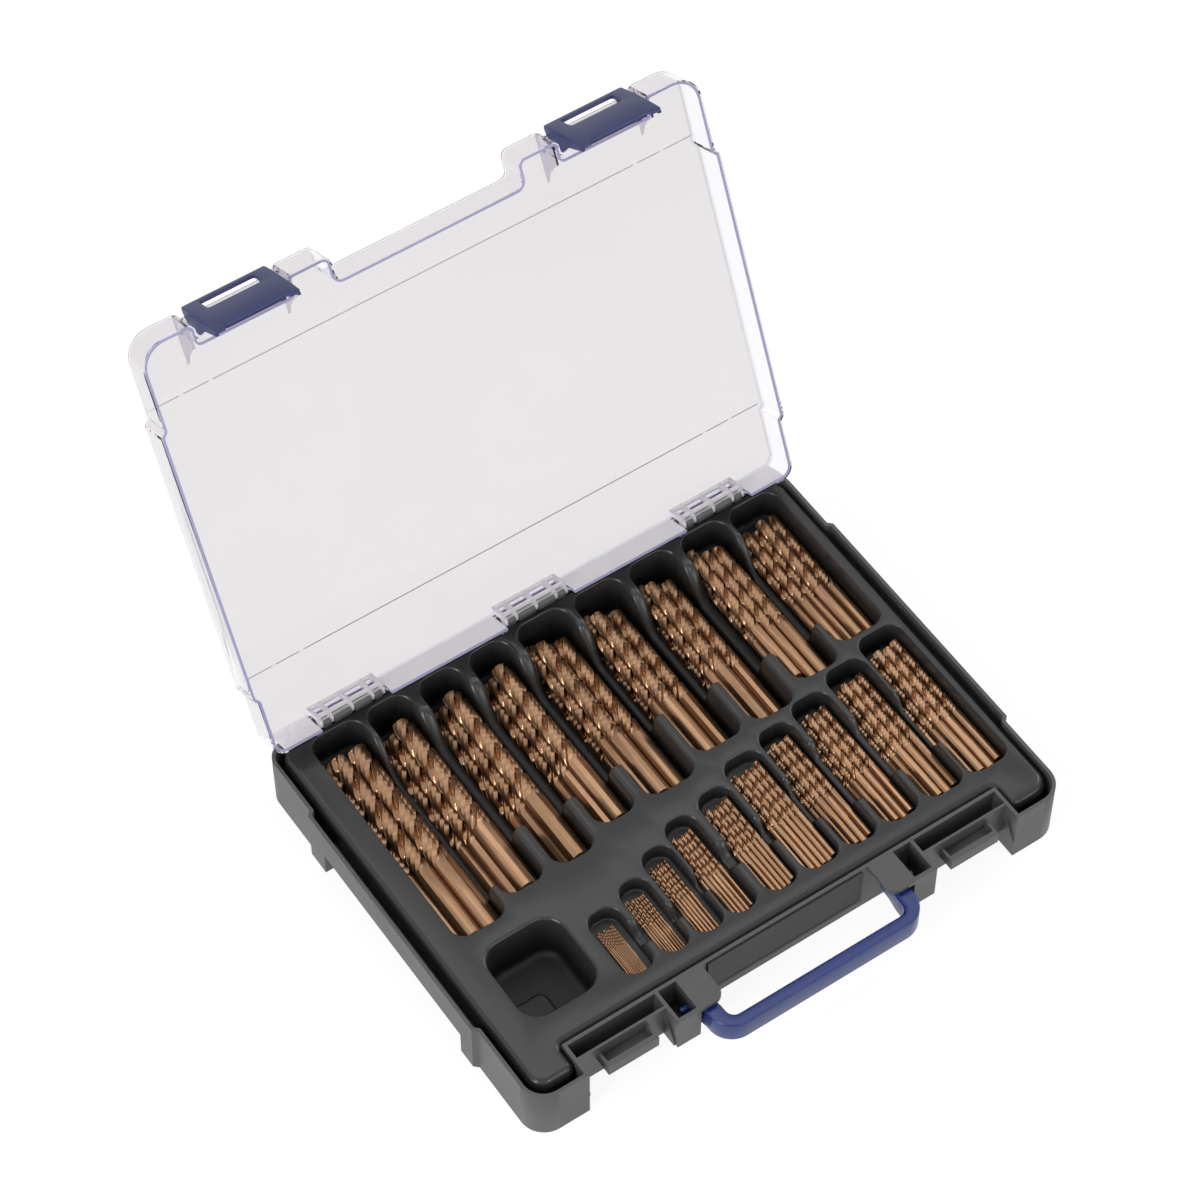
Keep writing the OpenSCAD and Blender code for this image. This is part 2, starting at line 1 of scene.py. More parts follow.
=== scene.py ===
# %% [markdown]
# # A drill bit case, standing open
# The case is a shallow grey base with a dark vacuum-formed tray, a clear lid on three hinges, two navy
# latches on the lid's free edge and a blue folding handle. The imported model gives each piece's place and
# size, in metres; this script gives the pieces their finish, and replaces the plain solids whose real
# surface is rounder or finer than a solid needs to be.

import math

import bpy
import numpy as np
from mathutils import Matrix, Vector
from mathutils.geometry import delaunay_2d_cdt


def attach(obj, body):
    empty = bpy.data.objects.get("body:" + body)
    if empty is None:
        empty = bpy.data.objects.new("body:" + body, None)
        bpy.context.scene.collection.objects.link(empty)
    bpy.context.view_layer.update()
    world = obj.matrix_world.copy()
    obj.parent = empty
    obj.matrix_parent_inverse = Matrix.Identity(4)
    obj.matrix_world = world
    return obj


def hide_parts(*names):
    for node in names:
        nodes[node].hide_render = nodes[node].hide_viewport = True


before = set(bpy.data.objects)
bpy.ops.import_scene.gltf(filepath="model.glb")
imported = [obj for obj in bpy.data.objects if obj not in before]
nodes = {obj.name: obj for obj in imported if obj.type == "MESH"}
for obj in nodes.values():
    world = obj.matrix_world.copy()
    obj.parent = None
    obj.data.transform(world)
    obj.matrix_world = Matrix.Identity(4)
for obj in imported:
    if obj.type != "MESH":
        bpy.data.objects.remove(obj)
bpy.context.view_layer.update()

# %% [markdown]
# ## Camera
# A long lens a little over two metres away looks down on the case from its front left, so the two long
# rows of pockets run away from the viewer. The camera is held level, so two angles say where it looks: it
# is turned about the vertical by the azimuth and looks down by the elevation.

# %% Camera
azimuth, elevation = math.radians(-34.35), math.radians(53.82)
camera_data = bpy.data.cameras.new("camera")
camera_data.sensor_width = 36.0
camera_data.lens = 118.7
camera = bpy.data.objects.new("camera", camera_data)
bpy.context.scene.collection.objects.link(camera)
camera.location = (-0.674, -0.9268, 1.7524)
camera.rotation_euler = (math.pi / 2 - elevation, 0, azimuth)
bpy.context.scene.camera = camera
bpy.context.scene.view_settings.view_transform = "Standard"
bpy.context.view_layer.update()
print("camera", [round(v, 3) for v in camera.location], "lens", camera_data.lens)

# %% [markdown]
# ## Studio
# The case lies on a white sweep with no visible horizon. The floor and the world are white to the camera,
# to reflections and to what shows through the clear lid, while only the lamps and a dimmer world light the
# object. The floor keeps a diffuse share, so the case still has its soft shadow.

# %% Shader node helpers
def feed(tree, node, inputs):
    """Link each input that is given another node's socket, and set each input that is given a value."""
    for key, given in inputs.items():
        if isinstance(given, bpy.types.NodeSocket):
            tree.links.new(given, node.inputs[key])
        else:
            node.inputs[key].default_value = given


def add_node(tree, kind, inputs=None, **settings):
    """A new shader node with its settings and its inputs."""
    node = tree.nodes.new("ShaderNode" + kind)
    for title, value in settings.items():
        setattr(node, title, value)
    feed(tree, node, inputs or {})
    return node


def grey(value):
    """An opaque grey."""
    return (value, value, value, 1.0)


# %% World and floor
def put_out_by_ray(tree, lighting, seen, output):
    """Put out one shader to rays that come from the camera, a reflection or a refraction, and another, which
    lights the object, to all other rays."""
    path = add_node(tree, "LightPath").outputs
    first = add_node(tree, "Math", {0: path["Is Camera Ray"], 1: path["Is Glossy Ray"]}, operation="MAXIMUM")
    both = add_node(tree, "Math", {0: first.outputs[0], 1: path["Is Transmission Ray"]}, operation="MAXIMUM")
    mix = add_node(tree, "MixShader", {0: both.outputs[0], 1: lighting.outputs[0], 2: seen.outputs[0]})
    add_node(tree, output, {"Surface": mix.outputs[0]})


world = bpy.data.worlds.new("studio")
world.use_nodes = True
bpy.context.scene.world = world
tree = world.node_tree
tree.nodes.clear()
dim = add_node(tree, "Background", {"Color": grey(1.0), "Strength": 0.2})
white = add_node(tree, "Background", {"Color": grey(1.0), "Strength": 1.0})
put_out_by_ray(tree, dim, white, "OutputWorld")

floor_mesh = bpy.data.meshes.new("floor")
floor_mesh.from_pydata([(-6, -6, 0), (6, -6, 0), (6, 6, 0), (-6, 6, 0)], [], [(0, 1, 2, 3)])
floor = bpy.data.objects.new("floor", floor_mesh)
bpy.context.scene.collection.objects.link(floor)
floor.location.z = -0.0003

paper = bpy.data.materials.new("white paper")
paper.use_nodes = True
tree = paper.node_tree
tree.nodes.clear()
plain = add_node(tree, "BsdfDiffuse", {"Color": grey(0.82)})
shaded = add_node(tree, "BsdfDiffuse", {"Color": grey(0.18)})
glow = add_node(tree, "Emission", {"Color": grey(1.0), "Strength": 0.9})
glowing = add_node(tree, "AddShader", {0: shaded.outputs[0], 1: glow.outputs[0]})
put_out_by_ray(tree, plain, glowing, "OutputMaterial")
floor_mesh.materials.append(paper)
print("world", world.name, "floor", paper.name)

# %% Lamps
def soft_lamp(name, place, aim, width, height, power):
    """A rectangular lamp at place that faces aim."""
    data = bpy.data.lights.new(name, "AREA")
    data.shape = "RECTANGLE"
    data.size = width
    data.size_y = height
    data.energy = power
    lamp = bpy.data.objects.new(name, data)
    bpy.context.scene.collection.objects.link(lamp)
    lamp.location = place
    direction = Vector(aim) - Vector(place)
    lamp.rotation_euler = direction.to_track_quat("-Z", "Y").to_euler()


soft_lamp("overhead", (0.1, 0.5, 1.9), (0, 0, 0), 1.6, 1.0, 6)
soft_lamp("left", (-1.75, -0.5, 0.75), (0, 0, 0.05), 0.8, 0.9, 18)
soft_lamp("front", (0.9, -1.7, 0.7), (0, 0, 0.05), 0.9, 0.7, 7)
soft_lamp("right", (1.5, 0.3, 1.3), (0, 0, 0.05), 0.6, 1.0, 6)
soft_lamp("bright left", (-1.35, -0.5, 1.5), (0, 0, 0.05), 0.12, 0.12, 3.0)
soft_lamp("bright right", (0.05, -1.5, 1.5), (0, 0, 0.05), 0.12, 0.12, 3.0)

# %% [markdown]
# ## Making surfaces
# Most new pieces are grids: rows of points joined by four-sided faces. One helper joins the grid, one puts
# the arrays into a mesh in metres, and one finishes the object: it rides on its body, takes its material
# and hides the plain solid that it stands for.

# %% Mesh helpers
def grid_faces(rows, columns, closed=True, start=0):
    """Four-sided faces of a grid of points: face (i, j) joins point (i, j) to its neighbours in the next
    column and the next row, and where the grid is closed the last column joins the first."""
    i = np.arange(rows - 1)[:, None]
    j = np.arange(columns if closed else columns - 1)[None, :]
    k = (j + 1) % columns
    corners = np.stack(np.broadcast_arrays(
        i * columns + j, i * columns + k, (i + 1) * columns + k, (i + 1) * columns + j), axis=-1)
    return corners.reshape(-1, 4) + start


def new_mesh(name, points, faces, sharp=35):
    """A mesh of points in millimetres and a list of face arrays, each with its own number of corners.
    Edges that turn more than sharp degrees stay crisp and the others are smooth."""
    mesh = bpy.data.meshes.new(name)
    sides = np.concatenate([np.full(len(f), f.shape[1]) for f in faces])
    loops = np.concatenate([f.ravel() for f in faces])
    mesh.vertices.add(len(points))
    mesh.vertices.foreach_set("co", (np.asarray(points) * 0.001).ravel())
    mesh.loops.add(len(loops))
    mesh.loops.foreach_set("vertex_index", loops)
    mesh.polygons.add(len(sides))
    mesh.polygons.foreach_set("loop_start", np.concatenate([[0], np.cumsum(sides)[:-1]]))
    mesh.polygons.foreach_set("loop_total", sides)
    mesh.update(calc_edges=True)
    mesh.validate()
    mesh.shade_smooth()
    mesh.set_sharp_from_angle(angle=math.radians(sharp))
    return mesh


def add_layer(mesh, title, values):
    """Numbers for the points of a mesh, one each, which a material reads by their title."""
    layer = mesh.attributes.new(title, "FLOAT", "POINT")
    layer.data.foreach_set("value", np.ravel(values).astype(np.float32))


def add_piece(name, mesh, body, slot, material, *stands_for):
    """The object of a mesh: it rides on a body, takes the material and hides the nodes that it stands for.
    The argument slot is not used.
    """
    piece = bpy.data.objects.new(name, mesh)
    bpy.context.scene.collection.objects.link(piece)
    mesh.materials.append(material)
    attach(piece, body)
    if stands_for:
        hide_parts(*stands_for)
    print(name, len(mesh.vertices), "points", len(mesh.polygons), "faces")


# %% [markdown]
# ## Shared finishes
# Every plastic piece here has a fine grain from its mould, and every surface has faint marks from handling.
# Both are node groups, so each material places them with its own scale and strength.

# %% Node groups
def new_group(name, inputs, outputs):
    """An empty shader group of plain numbers: inputs holds names and first values, outputs only names."""
    group = bpy.data.node_groups.new(name, "ShaderNodeTree")
    for title, value in inputs.items():
        socket = group.interface.new_socket(title, in_out="INPUT", socket_type="NodeSocketFloat")
        socket.default_value = value
    for title in outputs:
        group.interface.new_socket(title, in_out="OUTPUT", socket_type="NodeSocketFloat")
    return group, group.nodes.new("NodeGroupInput"), group.nodes.new("NodeGroupOutput")


def object_coordinates(tree):
    """The piece's own coordinates, in metres."""
    return add_node(tree, "TexCoord").outputs["Object"]


def grain_group():
    """Mould grain: fine noise turned into a height, and a broad noise that varies the gloss."""
    group, given, made = new_group("mould grain", {"Grain size": 900.0, "Patch size": 25.0},
                                   ["Height", "Patches"])
    place = object_coordinates(group)
    fine = add_node(group, "TexNoise", {"Vector": place, "Scale": given.outputs["Grain size"], "Detail": 3.0})
    broad = add_node(group, "TexNoise", {"Vector": place, "Scale": given.outputs["Patch size"],
                                         "Detail": 4.0, "Roughness": 0.6})
    feed(group, made, {"Height": fine.outputs["Fac"], "Patches": broad.outputs["Fac"]})
    return group


def marks_group():
    """Handling marks: long thin streaks where a stretched noise passes a threshold."""
    group, given, made = new_group("handling marks", {"Streak size": 60.0, "Amount": 0.3}, ["Mask"])
    stretch = add_node(group, "Mapping", {"Vector": object_coordinates(group), "Rotation": (0.3, 0.5, 0.7),
                                          "Scale": (1.0, 9.0, 3.0)})
    streaks = add_node(group, "TexNoise", {"Vector": stretch.outputs[0],
                                           "Scale": given.outputs["Streak size"], "Detail": 5.0})
    ramp = add_node(group, "MapRange", {"Value": streaks.outputs["Fac"], "From Min": 0.56, "From Max": 0.72})
    scaled = add_node(group, "Math", {0: ramp.outputs["Result"], 1: given.outputs["Amount"]},
                      operation="MULTIPLY")
    feed(group, made, {"Mask": scaled.outputs[0]})
    return group


mould_grain = grain_group()
handling_marks = marks_group()
print("groups", [g.name for g in bpy.data.node_groups])


# %% Parts of a material
def new_finish(name):
    """A new material, its tree and its shader."""
    material = bpy.data.materials.new(name)
    material.use_nodes = True
    return material, material.node_tree, material.node_tree.nodes["Principled BSDF"]


def place_group(tree, group, **values):
    """A node that runs a shared group with its own values."""
    return add_node(tree, "Group", {title.replace("_", " "): value for title, value in values.items()},
                    node_tree=group)


def attribute(tree, title):
    """The numbers that the mesh holds under a title."""
    return add_node(tree, "Attribute", attribute_name=title).outputs["Fac"]


def map_range(tree, value, low, high, source=(0.0, 1.0)):
    """A value carried from its source range to low..high."""
    return add_node(tree, "MapRange", {"Value": value, "From Min": source[0], "From Max": source[1],
                                       "To Min": low, "To Max": high}).outputs["Result"]


def mix_colour(tree, mask, first, second):
    """A colour mixed from two by a mask. Either colour may be four numbers or a socket."""
    return add_node(tree, "Mix", {0: mask, 6: first, 7: second}, data_type="RGBA").outputs[2]


def bumped(tree, height, strength, distance):
    """The surface's direction, tilted where a height rises or falls."""
    bump = add_node(tree, "Bump", {"Height": height, "Strength": strength, "Distance": distance})
    return bump.outputs["Normal"]


# %% Moulded plastic
def moulded_plastic(name, colour, roughness, grain=900.0, depth=0.00002, marks=0.25, specular=0.5):
    """Plastic from a mould: grain in the normal, a slow drift of colour and gloss, paler rubbed streaks."""
    material, tree, shader = new_finish(name)
    cover = place_group(tree, mould_grain, Grain_size=grain, Patch_size=22.0)
    rubbed = place_group(tree, handling_marks, Streak_size=45.0, Amount=marks)
    patches = cover.outputs["Patches"]
    dark = tuple(c * 0.93 for c in colour) + (1.0,)
    light = tuple(c * 1.07 for c in colour) + (1.0,)
    pale = tuple(c * 1.15 + 0.012 for c in colour) + (1.0,)
    feed(tree, shader, {
        "Base Color": mix_colour(tree, rubbed.outputs["Mask"], mix_colour(tree, patches, dark, light), pale),
        "Roughness": map_range(tree, patches, roughness - 0.05, roughness + 0.05, (0.3, 0.7)),
        "Normal": bumped(tree, cover.outputs["Height"], 0.35, depth),
        "Specular IOR Level": specular})
    return material


base_plastic = moulded_plastic("grey moulded plastic", (0.076, 0.076, 0.079), 0.44)
plate_plastic = moulded_plastic("grey plate plastic", (0.03, 0.0295, 0.031), 0.36, specular=0.15)
tray_plastic = moulded_plastic("dark tray sheet", (0.037, 0.0375, 0.0385), 0.22, grain=1400.0,
                               depth=0.000006, marks=0.1, specular=0.35)
latch_plastic = moulded_plastic("navy latch plastic", (0.016, 0.026, 0.125), 0.4)
handle_plastic = moulded_plastic("blue handle plastic", (0.006, 0.026, 0.17), 0.30)
print("plastics", [m.name for m in bpy.data.materials if "plastic" in m.name or "tray" in m.name])

# %% [markdown]
# ## The drill bits
# Each size is a set of jobber drills lying in its pocket. A drill is a rod with two helical flutes, a
# narrow margin along each cutting edge, a flat-cone point of 135 degrees and a plain shank. A screw
# modifier could twist a profile, but here the whole drill is one grid: the outline of its cross-section
# turns as it runs along the axis, and the flutes fade out where the cutter left the steel.

# %% Where the drills lie
def solid_boxes(node):
    """Lowest and highest corner, in millimetres, of each separate solid of a CAD node. Corners of loose
    triangles that share a place are merged, and then the lowest label spreads over each solid."""
    mesh = nodes[node].data
    points = np.empty(len(mesh.vertices) * 3)
    mesh.vertices.foreach_get("co", points)
    points = points.reshape(-1, 3) * 1000
    corners = np.empty(len(mesh.loops), dtype=np.int64)
    mesh.loops.foreach_get("vertex_index", corners)
    _, merged = np.unique(np.round(points * 1000).astype(np.int64), axis=0, return_inverse=True)
    merged = merged.ravel()
    faces = merged[corners].reshape(-1, 3)
    label = np.arange(merged.max() + 1)
    while True:
        lower = label.copy()
        lowest = label[faces].min(axis=1)
        for k in range(3):
            np.minimum.at(lower, faces[:, k], lowest)
        lower = lower[lower]
        if (lower == label).all():
            break
        label = lower
    owner = label[merged]
    return np.array([(points[owner == g].min(axis=0), points[owner == g].max(axis=0))
                     for g in np.unique(owner)])


# The length of the flutes at each diameter, in millimetres, as the standard series has it
flute_lengths = {1.0: 12, 1.5: 18, 2.0: 24, 2.5: 30, 3.0: 33, 3.5: 39, 4.0: 43, 4.5: 47, 5.0: 52, 5.5: 57,
                 6.0: 57, 6.5: 63, 7.0: 69, 7.5: 69, 8.0: 75, 8.5: 75, 9.0: 81, 9.5: 81, 10.0: 87}
drill_boxes = {node: solid_boxes(node) for node in sorted(nodes) if node.startswith("bits_")}
print(len(drill_boxes), "sizes of drill", sum(map(len, drill_boxes.values())), "drills")


# %% One twist drill
helix_angle, half_point_angle = math.radians(36), math.radians(67.5)
margin_end, land_end = 0.048, 0.67


def drill_outline(count):
    """Half of a drill's cross-section, as shares of its radius, with a mask that is one in the flute. The
    angle runs over half a turn: a margin at full radius, the land a little lower, and then the flute, whose
    depth is half the radius times the sine of its own share of the angle, to the power 0.75."""
    land = np.array([0.0, 0.045, 0.05, 0.25, 0.46, land_end])
    flute = np.linspace(land_end + 0.005, 0.99, count - len(land))
    share = np.concatenate([land, flute])
    run = np.clip((share - land_end) / (1 - land_end), 0, 1)
    radius = np.where(share < margin_end, 1.0, 0.97) - 0.5 * np.sin(np.pi * run) ** 0.75
    radius[-1] = 0.92
    return share, radius, np.where((share > land_end + 0.002) & (share < 0.9), 1.0, 0.0)


def drill_grid(diameter, length, flute, count, per_turn):
    """Grid of one drill along +Y from its shank end: each row is the outline turned by 2 pi y / pitch. The
    depth of the flutes falls to zero over the last 1.3 diameters, and the front row lies on the point's
    cone, so that a point at radius r is r / tan(67.5) behind the tip."""
    share, outline, mask = drill_outline(count)
    angle = np.concatenate([share * np.pi, share * np.pi + np.pi])
    outline = np.tile(outline, 2)
    mask = np.tile(mask, 2)
    half = diameter / 2
    pitch = np.pi * diameter / math.tan(helix_angle)
    start = length - flute
    rows = int(math.ceil(flute / pitch * per_turn)) + 1
    along = np.concatenate([[0.0, 0.05 * diameter, start * 0.5], np.linspace(start, length, rows)])
    fade = np.clip((along - start) / (1.3 * diameter), 0, 1) ** 0.6
    shape = 1 + (outline[None, :] - 1) * fade[:, None]
    shape[0] = 0.86
    radius = shape * half
    y = np.repeat(along[:, None], len(angle), axis=1)
    cone = radius / math.tan(half_point_angle)
    y = np.minimum(y, length - cone)
    turn = angle[None, :] + 2 * np.pi * np.maximum(y - start, 0) / pitch
    points = np.stack([radius * np.cos(turn), y, -radius * np.sin(turn)], axis=-1)
    tint = mask[None, :] * fade[:, None]
    return points, tint


example = drill_grid(10, 133, 87, 13, 18)[0]
print("one 10 mm drill", example.shape, "radius", round(float(np.abs(example[..., 0]).max()), 2))


# %% [markdown]
# ## Bronze finish of the drills
# The drills are cobalt steel with a bronze oxide: a brown metal, paler where it is ground and a little
# browner inside the flutes. The oxide's colour drifts from straw to brown between drills, and the grinding
# leaves fine lines that spread the highlight. Each point knows whether it is in a flute and which drill it
# belongs to, from two attributes of the mesh.

# %% Bronze
straw, brown, flute_brown = (0.42, 0.25, 0.145, 1.0), (0.31, 0.18, 0.104, 1.0), (0.3, 0.17, 0.095, 1.0)


def bronze_oxide():
    """Metal whose colour mixes straw and brown by drill, by a slow noise and by the flute's mask."""
    material, tree, shader = new_finish("bronze oxide on ground steel")
    in_flute = attribute(tree, "flute")
    cover = place_group(tree, mould_grain, Grain_size=2600.0, Patch_size=160.0)
    drift = add_node(tree, "Math", {0: cover.outputs["Patches"], 1: 0.9, 2: attribute(tree, "drill")},
                     operation="MULTIPLY_ADD")
    mask = map_range(tree, drift.outputs[0], 0.0, 1.0, (0.3, 1.3))
    ground = mix_colour(tree, mask, straw, brown)
    feed(tree, shader, {
        "Base Color": mix_colour(tree, map_range(tree, in_flute, 0.0, 0.92), ground, flute_brown),
        "Metallic": map_range(tree, in_flute, 0.8, 1.0),
        "Specular Tint": (0.22, 0.13, 0.08, 1.0),
        "Roughness": map_range(tree, in_flute, 0.3, 0.2),
        "Normal": bumped(tree, cover.outputs["Height"], 0.15, 0.000008)})
    return material


bronze = bronze_oxide()
print("metal", bronze.name)


# %% Fill the pockets
def drill_set(node, boxes, rng):
    """All drills of one size: one grid, turned about its own axis by nearly the same angle for each solid
    of the node, since drills packed together lie flute in flute, and moved to that solid's shank end. The
    shank end and the tip are closed with fans."""
    name = node.replace("bits_", "drills_")
    diameter = float(node[5:].replace("_", "."))
    length = float(np.median(boxes[:, 1, 1] - boxes[:, 0, 1]))
    count, per_turn = (14, 22) if diameter > 3.2 else (11, 14)
    points, tint = drill_grid(diameter - 0.02, length, flute_lengths[diameter], count, per_turn)
    rows, columns = tint.shape
    flat = np.concatenate([points.reshape(-1, 3), [[0, 0, 0], [0, length, 0]]])
    tint = np.concatenate([tint.ravel(), [0, 0]])
    sides = grid_faces(rows, columns)[:, ::-1]
    ring = np.arange(columns)
    after = np.roll(ring, -1)
    shank_end = np.stack([np.full(columns, rows * columns), ring, after], axis=1)
    last = (rows - 1) * columns
    tip = np.stack([np.full(columns, rows * columns + 1), last + after, last + ring], axis=1)
    turns = rng.uniform(0, np.pi) + rng.normal(0, 0.25, len(boxes))
    cos, sin = np.cos(turns)[:, None], np.sin(turns)[:, None]
    middle = boxes.mean(axis=1)
    x = middle[:, 0:1] + flat[None, :, 0] * cos + flat[None, :, 2] * sin
    z = middle[:, 2:3] - flat[None, :, 0] * sin + flat[None, :, 2] * cos
    y = boxes[:, 0, 1][:, None] + flat[None, :, 1]
    cloud = np.stack([x, y, z], axis=-1).reshape(-1, 3)
    shift = np.arange(len(boxes))[:, None, None] * len(flat)
    faces = [(part[None] + shift).reshape(-1, part.shape[1]) for part in (sides, shank_end, tip)]
    mesh = new_mesh(name, cloud, faces, sharp=32)
    add_layer(mesh, "flute", np.tile(tint, len(boxes)))
    add_layer(mesh, "drill", np.repeat(rng.uniform(0, 0.6, len(boxes)), len(flat)))
    add_piece(name, mesh, "base", "bit_metal", bronze, node)


rng = np.random.default_rng(7)
for node, boxes in drill_boxes.items():
    drill_set(node, boxes, rng)

# %% [markdown]
# ## Outlines and rings
# Mould tools leave rounded edges everywhere, so the tray is built from plan outlines. An outline knows
# which way is outward at each of its stations, and a ring is that outline moved outward by a distance that
# may differ from station to station. Rings at falling heights then make a fillet, a wall and a floor.

# %% Outline helpers
def smooth(x):
    """The smooth step 3x^2 - 2x^3, held at 0 and 1 outside that range."""
    x = np.clip(x, 0, 1)
    return x * x * (3 - 2 * x)


def outline(corners, radii, steps=7):
    """Stations of a polygon with rounded corners, counter-clockwise, and their outward directions. At a
    corner the direction turns evenly from one side's to the next, and the station stands one radius from
    the corner's centre, which is inside a convex corner and outside a concave one."""
    corners = np.asarray(corners, float)
    radii = np.asarray(radii, float)[:, None]
    ahead = np.roll(corners, -1, axis=0) - corners
    ahead /= np.linalg.norm(ahead, axis=1, keepdims=True)
    behind = np.roll(ahead, 1, axis=0)
    turn = np.arctan2(behind[:, 0] * ahead[:, 1] - behind[:, 1] * ahead[:, 0], (behind * ahead).sum(axis=1))
    start = np.arctan2(-behind[:, 0], behind[:, 1])
    angle = start[:, None] + turn[:, None] * np.linspace(0, 1, steps + 1)
    way = np.stack([np.cos(angle), np.sin(angle)], axis=-1)
    side = np.sign(turn)[:, None] * radii
    first = corners - behind * radii * np.tan(np.abs(turn[:, None]) / 2)
    place = (first - side * way[:, 0])[:, None] + side[:, None] * way
    return place, way


def plain_outline(corners, radii, steps=7):
    """The same stations and directions, as plain rows all the way round."""
    place, way = outline(corners, radii, steps)
    return place.reshape(-1, 2), way.reshape(-1, 2)


def swept(place, way, distance, height):
    """Rings about an outline: ring k stands distance[k] outside the outline's stations, at height[k].
    Both are rows of one value or of one value a station."""
    distance, height = np.broadcast_arrays(distance, height, np.empty((1, len(place))))[:2]
    flat = place[None] + way[None] * distance[..., None]
    return np.concatenate([flat, height[..., None]], axis=-1)


def quarter(count):
    """Sine and cosine of evenly spaced angles from 0 to a right angle, as two columns."""
    angle = np.linspace(0, np.pi / 2, count)[:, None]
    return np.sin(angle), np.cos(angle)


def ring_numbers(grid, start, row):
    """Point numbers of one ring of a grid whose first point is number start. Row -1 is the last ring."""
    return start + row % grid.shape[0] * grid.shape[1] + np.arange(grid.shape[1])


def flat_fill(points, loops, across=()):
    """Triangles that fill the plan between closed loops of point numbers, facing up. The plan is split by
    constrained Delaunay triangulation, with more fixed edges given as pairs of places in the first loop,
    and a triangle stays if a ray from its centre towards +x crosses the loops an odd number of times."""
    used = np.concatenate(loops)
    sides = [(int(a), int(b)) for loop, n in zip(loops, np.cumsum([0] + [len(k) for k in loops]))
             for a, b in zip(np.arange(len(loop)) + n, np.roll(np.arange(len(loop)), -1) + n)]
    fixed = sides + [tuple(pair) for pair in across]
    made = delaunay_2d_cdt([Vector(p[:2]) for p in points[used].tolist()], fixed, [], 0, 1e-6, False)
    assert len(made[0]) == len(used), "loops touch"
    faces = np.array([f for f in made[2]])
    plan = points[used][:, :2]
    begin, end = plan[np.array(sides)[:, 0]], plan[np.array(sides)[:, 1]]
    centre = plan[faces].mean(axis=1)
    above = (begin[None, :, 1] > centre[:, None, 1]) != (end[None, :, 1] > centre[:, None, 1])
    rise = np.where(end[:, 1] == begin[:, 1], 1.0, end[:, 1] - begin[:, 1])
    slope = (end - begin)[:, 0] / rise
    cross = begin[None, :, 0] + (centre[:, None, 1] - begin[None, :, 1]) * slope
    faces = faces[((above & (cross > centre[:, None, 0])).sum(axis=1) % 2) == 1]
    a, b, c = (plan[faces[:, k]] for k in range(3))
    left_turn = (b - a)[:, 0] * (c - a)[:, 1] - (b - a)[:, 1] * (c - a)[:, 0] > 0
    faces[~left_turn] = faces[~left_turn][:, ::-1]
    return used[faces]


# %% [markdown]
# ## The tray
# The tray is a sheet drawn down over a mould: nineteen long pockets, a square one, and finger scoops where
# the partition between two pockets dips so a drill can be lifted. A sheet has no sharp edge, so every
# pocket has a rounded lip and a rounded floor, and the whole deck rolls over at its rim. Each pocket is one
# grid of rings, the deck between them is filled flat, and its height dips over the scoops. How deep a
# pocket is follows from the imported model, because its floor lies just under its lowest drill.

# %% Pocket sizes
deck, tray_floor = 34.5, 3.5
rear_end, front_end = 120.5, -92.5
# For each pocket: left edge, width, start of the scoop on its right, diameter and length of its drills
rear_row = [(-144.5, 30.7, 9.0, 10.0, 133), (-110.0, 25.0, 31.5, 9.5, 125), (-77.5, 24.0, 23.3, 9.0, 125),
            (-46.0, 23.5, 26.6, 8.5, 117), (-15.0, 30.5, 32.3, 8.0, 117), (21.5, 29.5, 32.6, 7.5, 109),
            (57.5, 27.5, 23.5, 7.0, 109), (92.0, 28.0, 17.3, 6.5, 101), (124.0, 31.0, 0.0, 6.0, 93)]
front_row = [(-86.0, 18.5, 12.0, 1.0, 34), (-62.5, 17.0, 14.5, 1.5, 40), (-42.0, 18.0, 20.0, 2.0, 49),
             (-22.0, 18.5, 24.0, 2.5, 57), (2.5, 19.5, 25.0, 3.0, 61), (25.5, 23.0, 23.5, 3.5, 70),
             (51.5, 21.0, 21.0, 4.0, 75), (76.5, 23.0, 24.0, 4.5, 80), (103.5, 25.0, 26.0, 5.0, 86),
             (130.6, 26.8, 0.0, 5.5, 93)]
rear_box = np.array([(left, left + width, rear_end - length - 13, rear_end)
                     for left, width, _, _, length in rear_row])
front_box = np.array([(left, left + width, front_end, front_end + length + 7.5 + 0.55 * diameter)
                      for left, width, _, diameter, length in front_row])
# Each scoop has a start, an end, a depth and the length of the ramp at its end
front_scoop_ends = np.array([29, 27, 37, 42, 44, 55, 65.5, 66, 65]) + front_end
rear_dips = [(max(rear_box[i, 2], rear_box[i + 1, 2]) + rear_row[i][2], 105.5, 20.0, 22.0)
             for i in range(len(rear_row) - 1)]
front_dips = [(front_end + front_row[i][2], end, 9.0, 9.0) for i, end in enumerate(front_scoop_ends)]
print("pockets", len(rear_box) + len(front_box), "scoops", len(rear_dips) + len(front_dips))


def pocket_floor(diameter):
    """Height of a pocket's floor: the lowest point of its drills less the small gap under them."""
    return drill_boxes["bits_" + str(diameter).replace(".", "_")][:, 0, 2].min() - 0.035


# %% Sweep the pockets
def dip(y, scoop):
    """How far the partition's top lies under the deck at y: depth S((y - start) / 5) S((end - y) / ramp)."""
    start, end, depth, ramp = scoop
    return depth * smooth((y - start) / 5) * smooth((end - y) / ramp)


def side_levels(y0, y1, scoop):
    """Places along a pocket's straight side where stations stand: even ones, and closer ones at a scoop's
    two ends."""
    levels = np.linspace(y0, y1, 22)[1:-1]
    if scoop is not None:
        start, end, _, ramp = scoop
        levels = np.concatenate([levels, np.linspace(start - 0.5, start + 6, 14),
                                 np.linspace(end - ramp, end, 9)])
    levels = np.unique(np.round(levels, 2))
    return levels[(levels > y0 + 0.3) & (levels < y1 - 0.3)]


